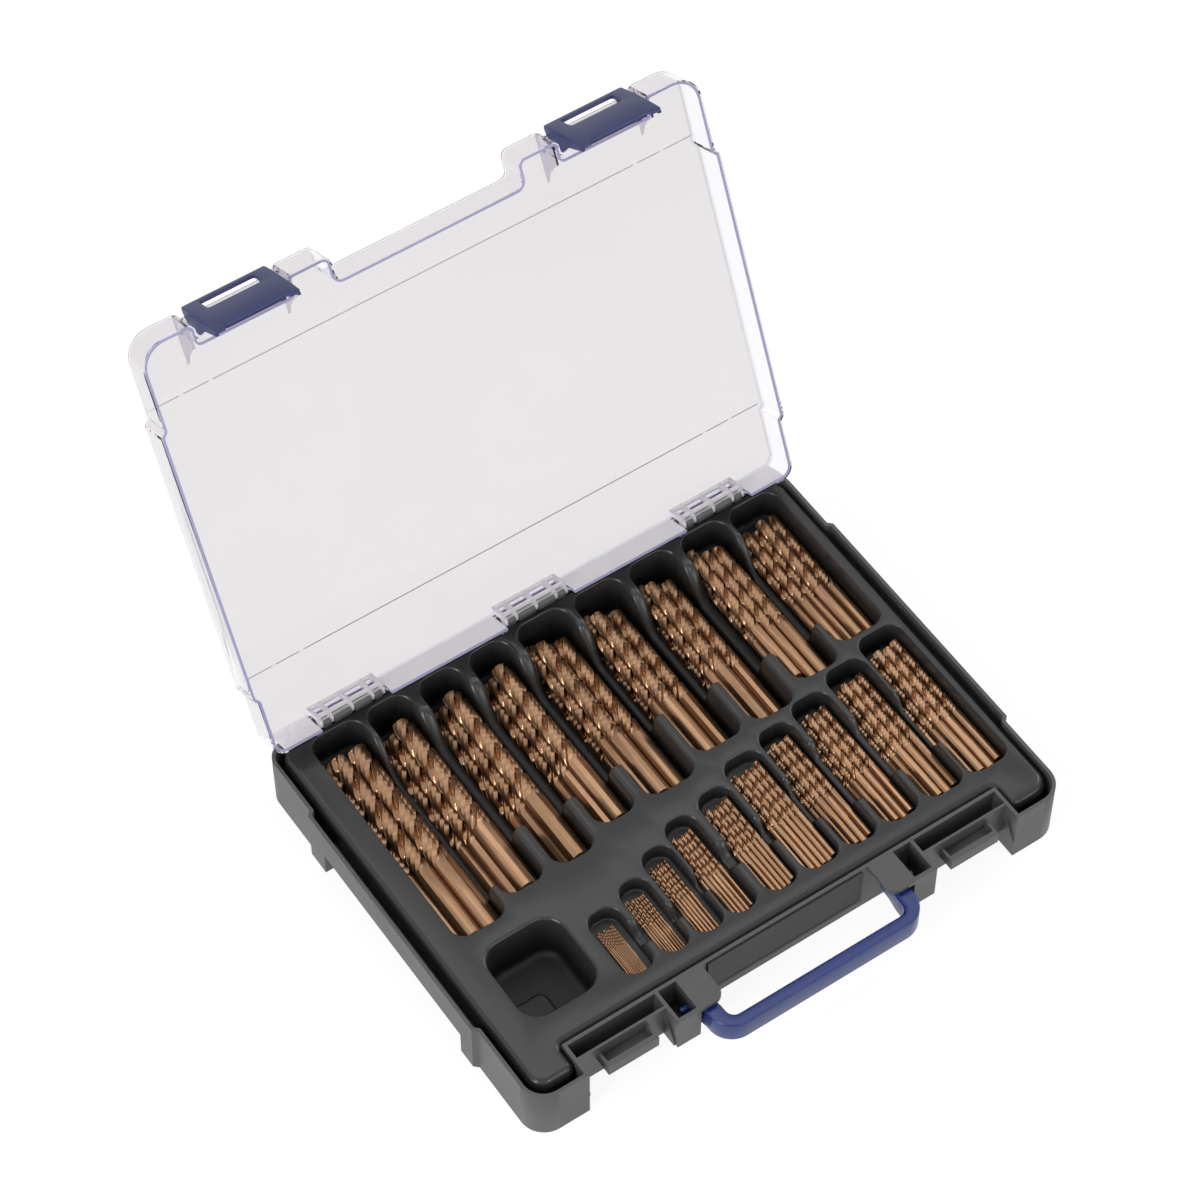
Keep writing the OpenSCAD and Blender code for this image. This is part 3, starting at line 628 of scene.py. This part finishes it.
def pocket_rings(box, floor, corner, lip, foot, left=None, right=None):
    """Rings of one pocket from the deck to its floor. The lip and the foot are quarter circles,
    d = r - r sin a, z = top - r + r cos a, with a straight wall between them. The top follows the dip of
    the scoop on either side, and the lip has one radius at the ends, one on the left and one on the right."""
    x0, x1, y0, y1 = box
    place, way = outline([(x1, y0), (x1, y1), (x0, y1), (x0, y0)], [corner] * 4)
    up = side_levels(y0 + corner, y1 - corner, right)
    down = side_levels(y0 + corner, y1 - corner, left)[::-1]
    stretch = [place[0], np.stack([np.full(len(up), x1), up], axis=1), place[1], place[2],
               np.stack([np.full(len(down), x0), down], axis=1), place[3]]
    aim = [way[0], np.tile([1.0, 0.0], (len(up), 1)), way[1], way[2],
           np.tile([-1.0, 0.0], (len(down), 1)), way[3]]
    place, way = np.concatenate(stretch), np.concatenate(aim)
    top = np.full(len(place), deck)
    for scoop, side in ((left, -1), (right, 1)):
        if scoop is not None:
            top = top - dip(place[:, 1], scoop) * (way[:, 0] * side > 0.5)
    share = np.abs(way[:, 0]) ** 8
    lip = lip[0] * (1 - share) + np.where(way[:, 0] > 0, lip[2], lip[1]) * share
    lip = np.minimum(lip, 0.45 * (top - floor))[None]
    foot = np.minimum(foot, 0.45 * (top - floor))[None]
    sine, cosine = quarter(5)
    distance = np.concatenate([lip - lip * sine, -0.15 - foot + foot * cosine])
    height = np.concatenate([top[None] - lip + lip * cosine, floor + foot - foot * sine])
    return swept(place, way, distance, height)


def pocket_grids(boxes, row, dips):
    """The rings of each pocket in a row. A lip takes at most 0.42 of the gap to its neighbour."""
    lips = np.concatenate([[1.2], 0.42 * (boxes[1:, 0] - boxes[:-1, 1]), [1.2]])
    grids = []
    for i, (box, (_, width, _, diameter, _)) in enumerate(zip(boxes, row)):
        lip = (min(1.15, lips[i], lips[i + 1]), lips[i], lips[i + 1])
        grids.append(pocket_rings(box, pocket_floor(diameter), min(8.0, width / 2 - 0.5), lip,
                                  min(3.0, 0.6 * diameter + 0.6), dips[i - 1] if i else None,
                                  dips[i] if i < len(dips) else None))
    return grids


# %% The whole tray
def tray_mesh():
    """One mesh of the roll round the rim, the pockets, the square pocket's pad and the deck between."""
    place, way = plain_outline([(-160.5, -120), (-136.4, -120), (-136.4, -104.5), (136.4, -104.5),
                                (136.4, -120), (162.5, -120), (162.5, 124.3), (-160.5, 124.3)],
                               [10, 5.2, 3, 3, 5.2, 10, 10, 10], 9)
    roll = 5.0 - 1.3 * np.maximum(way[:, 0], 0) - 3.0 * np.maximum(way[:, 1], 0)
    sine, cosine = quarter(8)
    distance = np.concatenate([np.zeros((2, len(roll))), roll * (cosine[1:] - 1)])
    height = np.concatenate([[np.full(len(roll), 18.0)], [deck - roll], deck - roll + roll * sine[1:]])
    square = pocket_rings((-141, -96, -85.5, -37.5), tray_floor, 12.0, (2.2, 2.2, 2.2), 5.0)
    pad_place, pad_way = plain_outline([(-142, -86.5), (-119, -86.5), (-119, -63.5), (-142, -63.5)],
                                       [10, 5, 5, 5])
    sine, cosine = quarter(5)
    pad = swept(pad_place, pad_way, np.concatenate([[[0.3]], 2.5 * (cosine - 1)]),
                np.concatenate([[[tray_floor]], 13.0 + 2.5 * sine]))
    grids = [swept(place, way, distance, height), *pocket_grids(rear_box, rear_row, rear_dips),
             *pocket_grids(front_box, front_row, front_dips), square, pad]
    starts = np.cumsum([0] + [g.shape[0] * g.shape[1] for g in grids])
    points = np.concatenate([g.reshape(-1, 3) for g in grids])
    faces = [grid_faces(g.shape[0], g.shape[1], start=s) for g, s in zip(grids, starts)]
    lips = [ring_numbers(g, s, 0) for g, s in zip(grids[1:-1], starts[1:])]
    faces.append(flat_fill(points, [ring_numbers(grids[0], 0, -1)] + lips))
    faces += [ring_numbers(g, s, -1)[None] for g, s in zip(grids[1:], starts[1:])]
    mesh = new_mesh("tray", points, faces, sharp=50)
    # Painted shade: depth is naught two millimetres under the deck and one sixteen millimetres under it
    add_layer(mesh, "depth", np.clip((deck - 2 - points[:, 2]) / 14, 0, 1))
    return mesh


def deepen(material, colour, roughness):
    """Painted shade in the pockets: a plastic's colour falls to the given dark colour, and its roughness to
    the given one, where the attribute depth is one.
    """
    tree = material.node_tree
    shader = tree.nodes["Principled BSDF"]
    depth = attribute(tree, "depth")
    near = shader.inputs["Base Color"].links[0].from_socket
    gloss = shader.inputs["Roughness"].links[0].from_socket
    blend = add_node(tree, "Mix", {0: depth, 2: gloss, 3: roughness})
    feed(tree, shader, {"Base Color": mix_colour(tree, depth, near, colour), "Roughness": blend.outputs[0]})


# Painted shade: the sheet turns nearly black deep in the pockets, where shade falls
deepen(tray_plastic, (0.008, 0.0075, 0.0075, 1.0), 0.5)
add_piece("tray", tray_mesh(), "base", "tray_plastic", tray_plastic, "tray_insert")

# %% [markdown]
# ## The clear lid
# The lid is a tray-like shell of clear plastic: a wall with a rounded top edge round a plan with a handle
# notch and two latch rooms, and a panel whose middle is one millimetre higher. It is drawn shut, as rings
# that run down the inside of the wall, under its rim and up the outside, and then turned open about the
# hinge. Clear plastic shows little of its surface but its edges, where the violet line of light that runs
# inside the sheet is painted into the colour as a painted glow.

# %% Lid helpers
hinge_y, hinge_z, opening = 121.5, 44.0, math.radians(114)
hinge_middles = np.array([-116.0, 0.0, 116.0])
bar_y, bar_z = -125, 47
latch_middle = 107.2


def cut_outline(place, way, levels, axis, beyond=-1000.0):
    """More stations where an outline's sides cross given levels of x or y, each at the share of its side
    where it lies. Only sides beyond a given y are cut."""
    after = np.roll(place, -1, axis=0)
    span = after[:, axis] - place[:, axis]
    share = (np.array(levels)[:, None] - place[None, :, axis]) / np.where(span == 0, np.inf, span)
    level, index = np.nonzero((share > 1e-6) & (share < 1 - 1e-6) & (place[None, :, 1] > beyond))
    part = share[level, index]
    order = np.argsort(np.concatenate([np.arange(len(place)), index + part]))
    added = place[index] + part[:, None] * (after - place)[index]
    return np.concatenate([place, added])[order], np.concatenate([way, way[index]])[order]


def opened(points):
    """Points of the shut lid turned open about the hinge: with y and z from its axis and the opening angle
    a, y becomes y cos a + z sin a and z becomes z cos a - y sin a."""
    y, z = points[..., 1] - hinge_y, points[..., 2] - hinge_z
    cos, sin = math.cos(opening), math.sin(opening)
    return np.stack([points[..., 0], hinge_y + y * cos + z * sin, hinge_z + z * cos - y * sin], axis=-1)


def blocks(boxes):
    """Eight corners and six faces for each box of x0, x1, y0, y1, z0, z1."""
    boxes = np.asarray(boxes, float).reshape(-1, 3, 2)
    pick = np.array([[k >> 2 & 1, k >> 1 & 1, k & 1] for k in range(8)])
    points = boxes[:, np.arange(3)[None, :], pick]
    sides = np.array([[0, 1, 3, 2], [4, 6, 7, 5], [0, 4, 5, 1], [2, 3, 7, 6], [0, 2, 6, 4], [1, 5, 7, 3]])
    return points.reshape(-1, 3), (sides[None] + 8 * np.arange(len(boxes))[:, None, None]).reshape(-1, 4)


def prism(profile, x0, x1):
    """A profile of y and z, counter-clockwise as seen from +x, drawn out from x0 to x1."""
    profile = np.asarray(profile, float)
    n = len(profile)
    near = np.column_stack([np.full(n, x0), profile])
    far = np.column_stack([np.full(n, x1), profile])
    ring = np.arange(n)
    wall = np.stack([ring, ring + n, np.roll(ring, -1) + n, np.roll(ring, -1)], axis=1)[:, ::-1]
    return np.concatenate([near, far]), [wall, ring[::-1][None], (ring + n)[None]]


def both_sides(profile, near, far):
    """The same prism on the left and on the right of the middle, from near to far."""
    return [prism(profile, *sorted((side * near, side * far))) for side in (-1, 1)]


def disc(y, z, radius, count=24, start=0.0, end=2 * np.pi):
    """Points of an arc about y, z."""
    angle = np.linspace(start, end, count, endpoint=end - start < 2 * np.pi - 1e-6)
    return np.stack([y + radius * np.cos(angle), z + radius * np.sin(angle)], axis=1)


def gathered(parts):
    """Many (points, faces) pairs as one."""
    starts = np.cumsum([0] + [len(points) for points, _ in parts])
    groups = [group if isinstance(group, list) else [group] for _, group in parts]
    return (np.concatenate([points for points, _ in parts]),
            [faces + start for group, start in zip(groups, starts) for faces in group])


# %% Clear plastic
def let_light_through(material):
    """Make shadow rays pass the material, a little weaker."""
    tree = material.node_tree
    passed = add_node(tree, "BsdfTransparent", {"Color": (0.88, 0.88, 0.9, 1.0)})
    shadow = add_node(tree, "LightPath").outputs["Is Shadow Ray"]
    mix = add_node(tree, "MixShader", {0: shadow, 1: tree.nodes["Principled BSDF"].outputs[0],
                                       2: passed.outputs[0]})
    feed(tree, tree.nodes["Material Output"], {"Surface": mix.outputs[0]})


def clear_plastic():
    """Clear plastic with a painted violet glow, the light that comes out at the lid's edges, where the
    attribute edge is one, and clearer where the attribute wall is one. Shadow rays pass it, so that the lamps
    reach the tray through the lid."""
    material, tree, shader = new_finish("clear lid plastic")
    rubbed = place_group(tree, handling_marks, Streak_size=14.0, Amount=0.5)
    cover = place_group(tree, mould_grain, Grain_size=700.0, Patch_size=9.0)
    panel = mix_colour(tree, cover.outputs["Patches"], (0.80, 0.775, 0.785, 1.0), (0.75, 0.73, 0.745, 1.0))
    body = mix_colour(tree, attribute(tree, "wall"), panel, (0.95, 0.94, 0.955, 1.0))
    # Painted glow: the violet where edge is one stands for light that runs inside the sheet and leaves at its
    # edges
    feed(tree, shader, {
        "Base Color": mix_colour(tree, attribute(tree, "edge"), body, (0.25, 0.23, 0.50, 1.0)),
        "Roughness": map_range(tree, rubbed.outputs["Mask"], 0.03, 0.14),
        "Transmission Weight": 1.0, "IOR": 1.2})
    let_light_through(material)
    return material


lid_plastic = clear_plastic()
print("clear plastic", lid_plastic.name)


# %% Lid shell
step_levels = (-84.5, 82.9)
panel_top, rim_height, rim_at_hinge = 56.2, 36.05, 52.5
hinge_reach = 21.5


def lid_meshes():
    """The lid's wall with its two panels, and the strip along its rim. The wall's rings go from the inner
    panel down the inner wall, across the rim and up the outer wall. The top is a millimetre higher between
    the two step lines, and the rim lifts over each hinge block."""
    right = np.array([(55.5, -112.5, 4), (55.5, -127.5, 5), (80.7, -127.5, 4), (80.7, -116.5, 1.5),
                      (133.7, -116.5, 1.5), (133.7, -127.5, 4), (166, -127.5, 15), (166, -80.5, 1),
                      (168.5, -78, 3.8), (168.5, 85, 3.8), (166, 87.5, 1), (166, 122.5, 8)])
    both = np.concatenate([right, (right * [-1, 1, 1])[::-1]])
    place, way = plain_outline(both[:, :2], both[:, 2], 8)
    step_sides = [level + shift for level in step_levels for shift in (-0.3, 0.3)]
    place, way = cut_outline(place, way, step_sides, 1)
    block_ends = np.array([-hinge_reach, 0.1 - hinge_reach, hinge_reach - 0.1, hinge_reach])
    cuts = hinge_middles[:, None] + block_ends
    place, way = cut_outline(place, way, cuts.ravel(), 0, 110.0)
    x, y = place[:, 0], place[:, 1]
    top = np.where((y > step_levels[0]) & (y < step_levels[1]), panel_top + 1, panel_top)
    at_hinge = (np.abs(x[:, None] - hinge_middles).min(axis=1) < hinge_reach - 0.05) & (y > 120)
    rim = np.where(at_hinge, rim_at_hinge, rim_height)
    sine, cosine = quarter(6)
    inner_r, outer_r = 1.5, 3.4
    distance = np.concatenate([-2 - inner_r + inner_r * sine, [[-2.0], [-2.0], [0.0], [0.0]],
                               -outer_r + outer_r * cosine])
    height = np.concatenate([top - 2 - inner_r + inner_r * cosine, [rim + 0.5, rim, rim, rim + 0.5],
                             top - outer_r + outer_r * sine])
    shell = swept(place, way, distance, height)
    rows, columns = shell.shape[:2]
    points = shell.reshape(-1, 3)
    across = [[int(np.nonzero((np.abs(y - level) < 0.01) & (x * side > 100))[0][0]) for side in (-1, 1)]
              for level in step_sides]
    inner = flat_fill(points, [ring_numbers(shell, 0, 0)], across)[:, ::-1]
    outer = flat_fill(points, [ring_numbers(shell, 0, -1)], across)
    mesh = new_mesh("lid", opened(points), [grid_faces(rows, columns), inner, outer], sharp=50)
    # Rings 5 to 10 are the walls and the rim, and rings 12 and 13 the middle of the round outer edge
    ring = np.arange(rows)[:, None] + np.zeros(columns)
    # Painted glow: the edge layer paints a violet line of light along the middle of the round outer edge
    add_layer(mesh, "edge", np.where((ring > 11) & (ring < 14), 0.4, 0.0))
    add_layer(mesh, "wall", (ring > 4) & (ring < 11))
    strip = swept(place, way, np.array([-2.03, -2.03, -0.8, -0.8])[:, None],
                  np.stack([rim + 0.7, rim - 0.02, rim - 0.02, rim + 0.7]))
    strip_faces = grid_faces(5, columns) % (4 * columns)
    return mesh, new_mesh("lid_rim", opened(strip.reshape(-1, 3)), [strip_faces], sharp=50)


lid_shell, rim_strip = lid_meshes()
add_piece("lid", lid_shell, "lid", "clear_plastic", lid_plastic, "lid_shell")

# %% [markdown]
# ## Painted glow where the lid looks milky or violet
# Light that runs inside a clear sheet comes out at its rim and where plastic is heaped up. In the photo the
# rim is a violet line, and the hinge wall and the knuckles are nearly white. With the clear plastic alone
# the dark base showed through them, so the rim's strip and the hinge's pieces have a plastic of their own.

# %% Lid rim
# Painted glow: the violet line of light at the lid's rim is this strip's colour
rim_glow_plastic = moulded_plastic("lid rim plastic", (0.42, 0.395, 0.62), 0.3)
let_light_through(rim_glow_plastic)
add_piece("lid_rim", rim_strip, "lid", "clear_plastic", rim_glow_plastic)


# %% Hinge knuckles and hinge wall
def knuckle_parts():
    """The knuckles, whose windows take the hooks of the base, and the inner face of the hinge wall."""
    ribs = [-20.0, -13.4, -0.8, 11.8, 18.4]
    half_block, rib_width = 20, 1.6
    parts = []
    for middle in hinge_middles:
        left, right = middle - half_block, middle + half_block
        spans = [(middle + rib, middle + rib + rib_width) for rib in ribs]
        parts.append(blocks([(a, b, 116.1, 120.0, 42.0, 54.4) for a, b in spans]
                            + [(left, right, 116.1, 117.5, 51.5, 54.4), (left, right, 116.1, 117.5, 42, 44.5)]
                            + [(a, b, 116.1, 117.5, 44.5, 51.5) for a, b in spans]))
        parts.append(prism(disc(hinge_y, hinge_z, 2.0), left, right))
        parts += [prism(disc(hinge_y, hinge_z, 2.6), a, b) for a, b in spans]
    between = [(-160, -137.7), (-94.3, -21.7), (21.7, 94.3), (137.7, 160)]
    parts.append(blocks([(a, b, 120.3, 120.48, 36.8, 53.0) for a, b in between]))
    return gathered(parts)


# Painted glow: the knuckles and the hinge wall are near white from light gathered in the plastic, painted
# into the colour
gathered_light_plastic = moulded_plastic("lid plastic where light gathers", (0.72, 0.7, 0.73), 0.3)
let_light_through(gathered_light_plastic)
points, faces = knuckle_parts()
add_piece("lid_knuckles", new_mesh("lid_knuckles", opened(points), faces, sharp=40), "lid", "clear_plastic",
          gathered_light_plastic)

# %% [markdown]
# ## Latch bars and fins
# Each latch clips on a round bar that is moulded into its room, and a flat fin stands on either side of the
# room. A bar is a disc drawn out along x and a fin a flat profile drawn out by its thickness. Both are the
# lid's own clear plastic, with a little of the painted violet glow of the lid's edges.

# %% Latch bars and fins
def lid_details():
    """The two bars that the latches clip on and the flat fins beside the latch rooms."""
    fin = [(-125.6, 54.3), (-125.6, 38.5), (-113.5, 37.6), (-109.5, 44), (-104.5, 50), (-98, 54.3)]
    half_bar, fin_width = 27.5, 1.2
    parts = both_sides(disc(bar_y, bar_z, 1.8), latch_middle - half_bar, latch_middle + half_bar)
    for x in (77.4, 136.0):
        parts += both_sides(fin, x, x + fin_width)
    return gathered(parts)


points, faces = lid_details()
mesh = new_mesh("lid_details", opened(points), faces, sharp=40)
# Painted glow: a little of the violet line of light at the lid's edges
add_layer(mesh, "edge", np.full(len(points), 0.22))
add_piece("lid_details", mesh, "lid", "clear_plastic", lid_plastic)

# %% [markdown]
# ## Step lines
# The lid's middle panel is a millimetre higher than its ends, and each step shows as a fine grey line that
# breaks at two small ejector marks near either end. The step itself is in the lid's mesh. The line is painted
# shade: a thin grey strip just under the step, since a clear step that small hardly shows.

# %% Step lines
# Painted shade: the grey line that light draws along each clear step
step_shade_plastic = moulded_plastic("step line plastic", (0.36, 0.345, 0.36), 0.3)
spans = [(-163.5, -146.5), (-144, -129.5), (-127, 127), (129.5, 144), (146.5, 163.5)]
points, faces = blocks([(a, b, level - 0.2, level + 0.22, 54.6, 55.0) for level in step_levels
                        for a, b in spans])
add_piece("lid_step_lines", new_mesh("lid_step_lines", opened(points), [faces]), "lid", "clear_plastic",
          step_shade_plastic)
# %% [markdown]
# ## Latches
# A latch is a bent navy plate with a window near its top, through which the lid's clear bar is seen, and
# two feet at its lower corners. The plate is an outline in x and z filled round its window, then bowed
# outward. Skirts close its ends, and two short clips hold it on the bar.

# %% Latches
def bowed(points):
    """Outline points (x, z, height) to places: the height goes towards -y from the plate's back, which bows
    by k ((z - 36) / 20)^2, with k 1.1 above z = 36 and 0.5 below it, where the catch ledge is close."""
    x, z, rise = points[..., 0], points[..., 1], points[..., 2]
    bow = np.where(z > 36, 1.1, 0.5) * ((z - 36) / 20) ** 2
    return np.stack([x, -127.8 - rise + bow, z], axis=-1)


def latch_parts(centre):
    """Plate, skirts, clips and hook of one latch, shut, about x = centre."""
    place, way = plain_outline([(-24.2, 15), (-18.6, 15), (-17.2, 17.4), (17.2, 17.4), (18.6, 15), (24.2, 15),
                                (24.2, 54.5), (-24.2, 54.5)], [1.4, 1.2, 0.6, 0.6, 1.2, 1.4, 1.4, 1.4], 4)
    place, way = cut_outline(place, way, np.arange(20, 54, 3.0), 1)
    hole, hole_way = plain_outline([(-15.6, 39.2), (15.6, 39.2), (15.6, 50.4), (-15.6, 50.4)], [1.5] * 4, 4)
    hole, hole_way = cut_outline(hole, hole_way, [42.0, 45.0, 48.0], 1)
    sine, cosine = quarter(4)
    plate = swept(place, way, np.concatenate([[[-0.2]], [[0.0]], 0.8 * (cosine - 1)]),
                  np.concatenate([[[0.0]], [[0.2]], 1.2 + 0.8 * sine]))
    window = swept(hole, hole_way, np.concatenate([0.6 * (1 - sine), [[0.0]]]),
                   np.concatenate([1.4 + 0.6 * cosine, [[0.0]]]))
    points = np.concatenate([plate.reshape(-1, 3), window.reshape(-1, 3)])
    first = plate.shape[0] * plate.shape[1]
    front = [ring_numbers(plate, 0, -1), ring_numbers(window, first, 0)]
    back = [ring_numbers(plate, 0, 0), ring_numbers(window, first, -1)]
    faces = [grid_faces(*plate.shape[:2]), grid_faces(*window.shape[:2], start=first),
             flat_fill(points, front), flat_fill(points, back)[:, ::-1]]
    skirt = [(-127.2, 54.0), (-128.4, 45), (-128.6, 36), (-128.4, 26), (-127.2, 15.6), (-125.9, 15.6),
             (-123.5, 31), (-118, 39), (-118, 50), (-120.4, 52.4)]
    mouth = 0.55
    clip = np.concatenate([disc(bar_y, bar_z, 3.2, 18, mouth, 2 * np.pi - mouth),
                           disc(bar_y, bar_z, 1.95, 18, mouth, 2 * np.pi - mouth)[::-1]])
    hook = [(-14.2, 14.2, -127.9, -125.9, 20.4, 22.8), (-17, 17, -127.2, -126.3, 17.6, 19.4)]
    points, faces = gathered([(bowed(points), faces), *both_sides(skirt, 22.6, 24.1),
                              *both_sides(clip, 17.5, 21.5), blocks(hook)])
    return points + [centre, 0, 0], faces


for name, body, centre in (("latch_left", "left_latch", -latch_middle),
                           ("latch_right", "right_latch", latch_middle)):
    points, faces = latch_parts(centre)
    mesh = new_mesh(name + "_cover", opened(points), faces, sharp=40)
    add_piece(name + "_cover", mesh, body, "latch_plastic", latch_plastic, name)

# %% [markdown]
# ## Handle
# The handle is one round-edged bar bent into a U. Its section runs along a path that starts at one arm's
# pivot, goes forward, turns the corner and crosses the front. The section is a rectangle with rounded
# corners, and it is thicker along the arms than along the grip.

# %% Handle
pivot_y, pivot_z, half_height = -118.5, 25.0, 7.0


def handle_parts():
    """A grid whose rows are sections: the inner outline and the outer outline of the U give each section's
    two sides, and its half height h follows the round end of the arm, sqrt(h^2 - (y - pivot)^2)."""
    angle = np.linspace(0, np.pi / 2, 14)
    reach = np.concatenate([np.linspace(-111.6, pivot_y, 8), np.linspace(-121, -129.5, 4)])
    lean = 2.4 * smooth((-119 - reach) / 12)
    outer = np.concatenate([np.column_stack([lean - 66.7, reach]),
                            np.column_stack([-50.3 - 14 * np.cos(angle), -131.5 - 14 * np.sin(angle)]),
                            [[-25.0, -145.5]]])
    inner = np.concatenate([np.column_stack([0.6 * lean - 56.7, reach]),
                            np.column_stack([-50.2 - 5 * np.cos(angle), -133 - 5 * np.sin(angle)]),
                            [[-25.0, -138.0]]])
    outer = np.concatenate([outer, (outer * [-1, 1])[::-1]])
    inner = np.concatenate([inner, (inner * [-1, 1])[::-1]])
    middle, half = (outer + inner) / 2, (outer - inner) / 2
    width = np.linalg.norm(half, axis=1)
    back = np.maximum(middle[:, 1] - pivot_y, 0)
    tall = np.sqrt(np.maximum(half_height ** 2 - back ** 2, 0.3))
    turn = np.linspace(0, 2 * np.pi, 33)[:-1] + np.pi / 32
    radius = np.minimum((np.minimum(width, tall) * 0.8)[:, None],
                        np.where((np.cos(turn) < 0) & (np.sin(turn) > 0), 2.6, 1.1))
    across = np.sign(np.cos(turn)) * (width[:, None] - radius) + radius * np.cos(turn)
    rise = np.sign(np.sin(turn)) * (tall[:, None] - radius) + radius * np.sin(turn)
    side = half / width[:, None]
    flat = middle[:, None] + side[:, None] * across[..., None]
    points = np.concatenate([flat, pivot_z + rise[..., None]], axis=-1)
    ends = [ring_numbers(points, 0, 0)[::-1][None], ring_numbers(points, 0, -1)[None]]
    bar = (points.reshape(-1, 3), [grid_faces(*points.shape[:2])] + ends)
    return gathered([bar] + both_sides(disc(pivot_y, pivot_z, 2.5), 66, 72.7))


points, faces = handle_parts()
add_piece("handle_bar", new_mesh("handle_bar", points, faces, sharp=50), "carry_handle", "handle_plastic",
          handle_plastic, "handle")

# %% [markdown]
# ## The plate's groove
# The bare plate on the front wall sits in a shallow groove, which shows as a dark frame of shade. The shade
# is
# painted: four thin dark strips that stand a tenth of a millimetre off the plate.

# %% Groove
# Painted shade: near-black strips where shade falls in the groove round the plate
groove_shade_plastic = moulded_plastic("painted groove shade", (0.008, 0.008, 0.009), 0.5)
frame_strips = [(-48.8, 48.8, 7.6, 9.6), (-48.8, 48.8, 33.6, 35.0), (-48.8, -46.9, 9.6, 33.6),
                (46.9, 48.8, 9.6, 33.6)]
points, faces = blocks([(x0, x1, -108.85, -108.6, z0, z1) for x0, x1, z0, z1 in frame_strips])
add_piece("plate_groove_shade", new_mesh("plate_groove_shade", points, [faces]), "base", "base_plastic", groove_shade_plastic)

# %% [markdown]
# ## The base and its plate
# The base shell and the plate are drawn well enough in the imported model, so they keep its meshes. Those are
# loose triangles with hard corners. A weld joins them and a bevel of half a millimetre rounds each edge, as
# a mould does, so the edges catch a thin line of light.

# %% Finish the plain nodes
def finish_node(name, material, width):
    """A CAD node keeps its own mesh. Its slots take the material, and a bevel rounds its edges."""
    node = nodes[name]
    node.data.materials.clear()
    node.data.materials.append(material)
    weld = node.modifiers.new("join", "WELD")
    weld.merge_threshold = 0.00001
    bevel = node.modifiers.new("edges", "BEVEL")
    bevel.width = width
    bevel.segments = 2
    bevel.limit_method = "ANGLE"
    bevel.angle_limit = math.radians(40)
    bevel.harden_normals = False
    print(name, len(node.data.polygons), "triangles, bevel", width)


finish_node("base_shell", base_plastic, 0.0005)
finish_node("label_plate", plate_plastic, 0.0004)
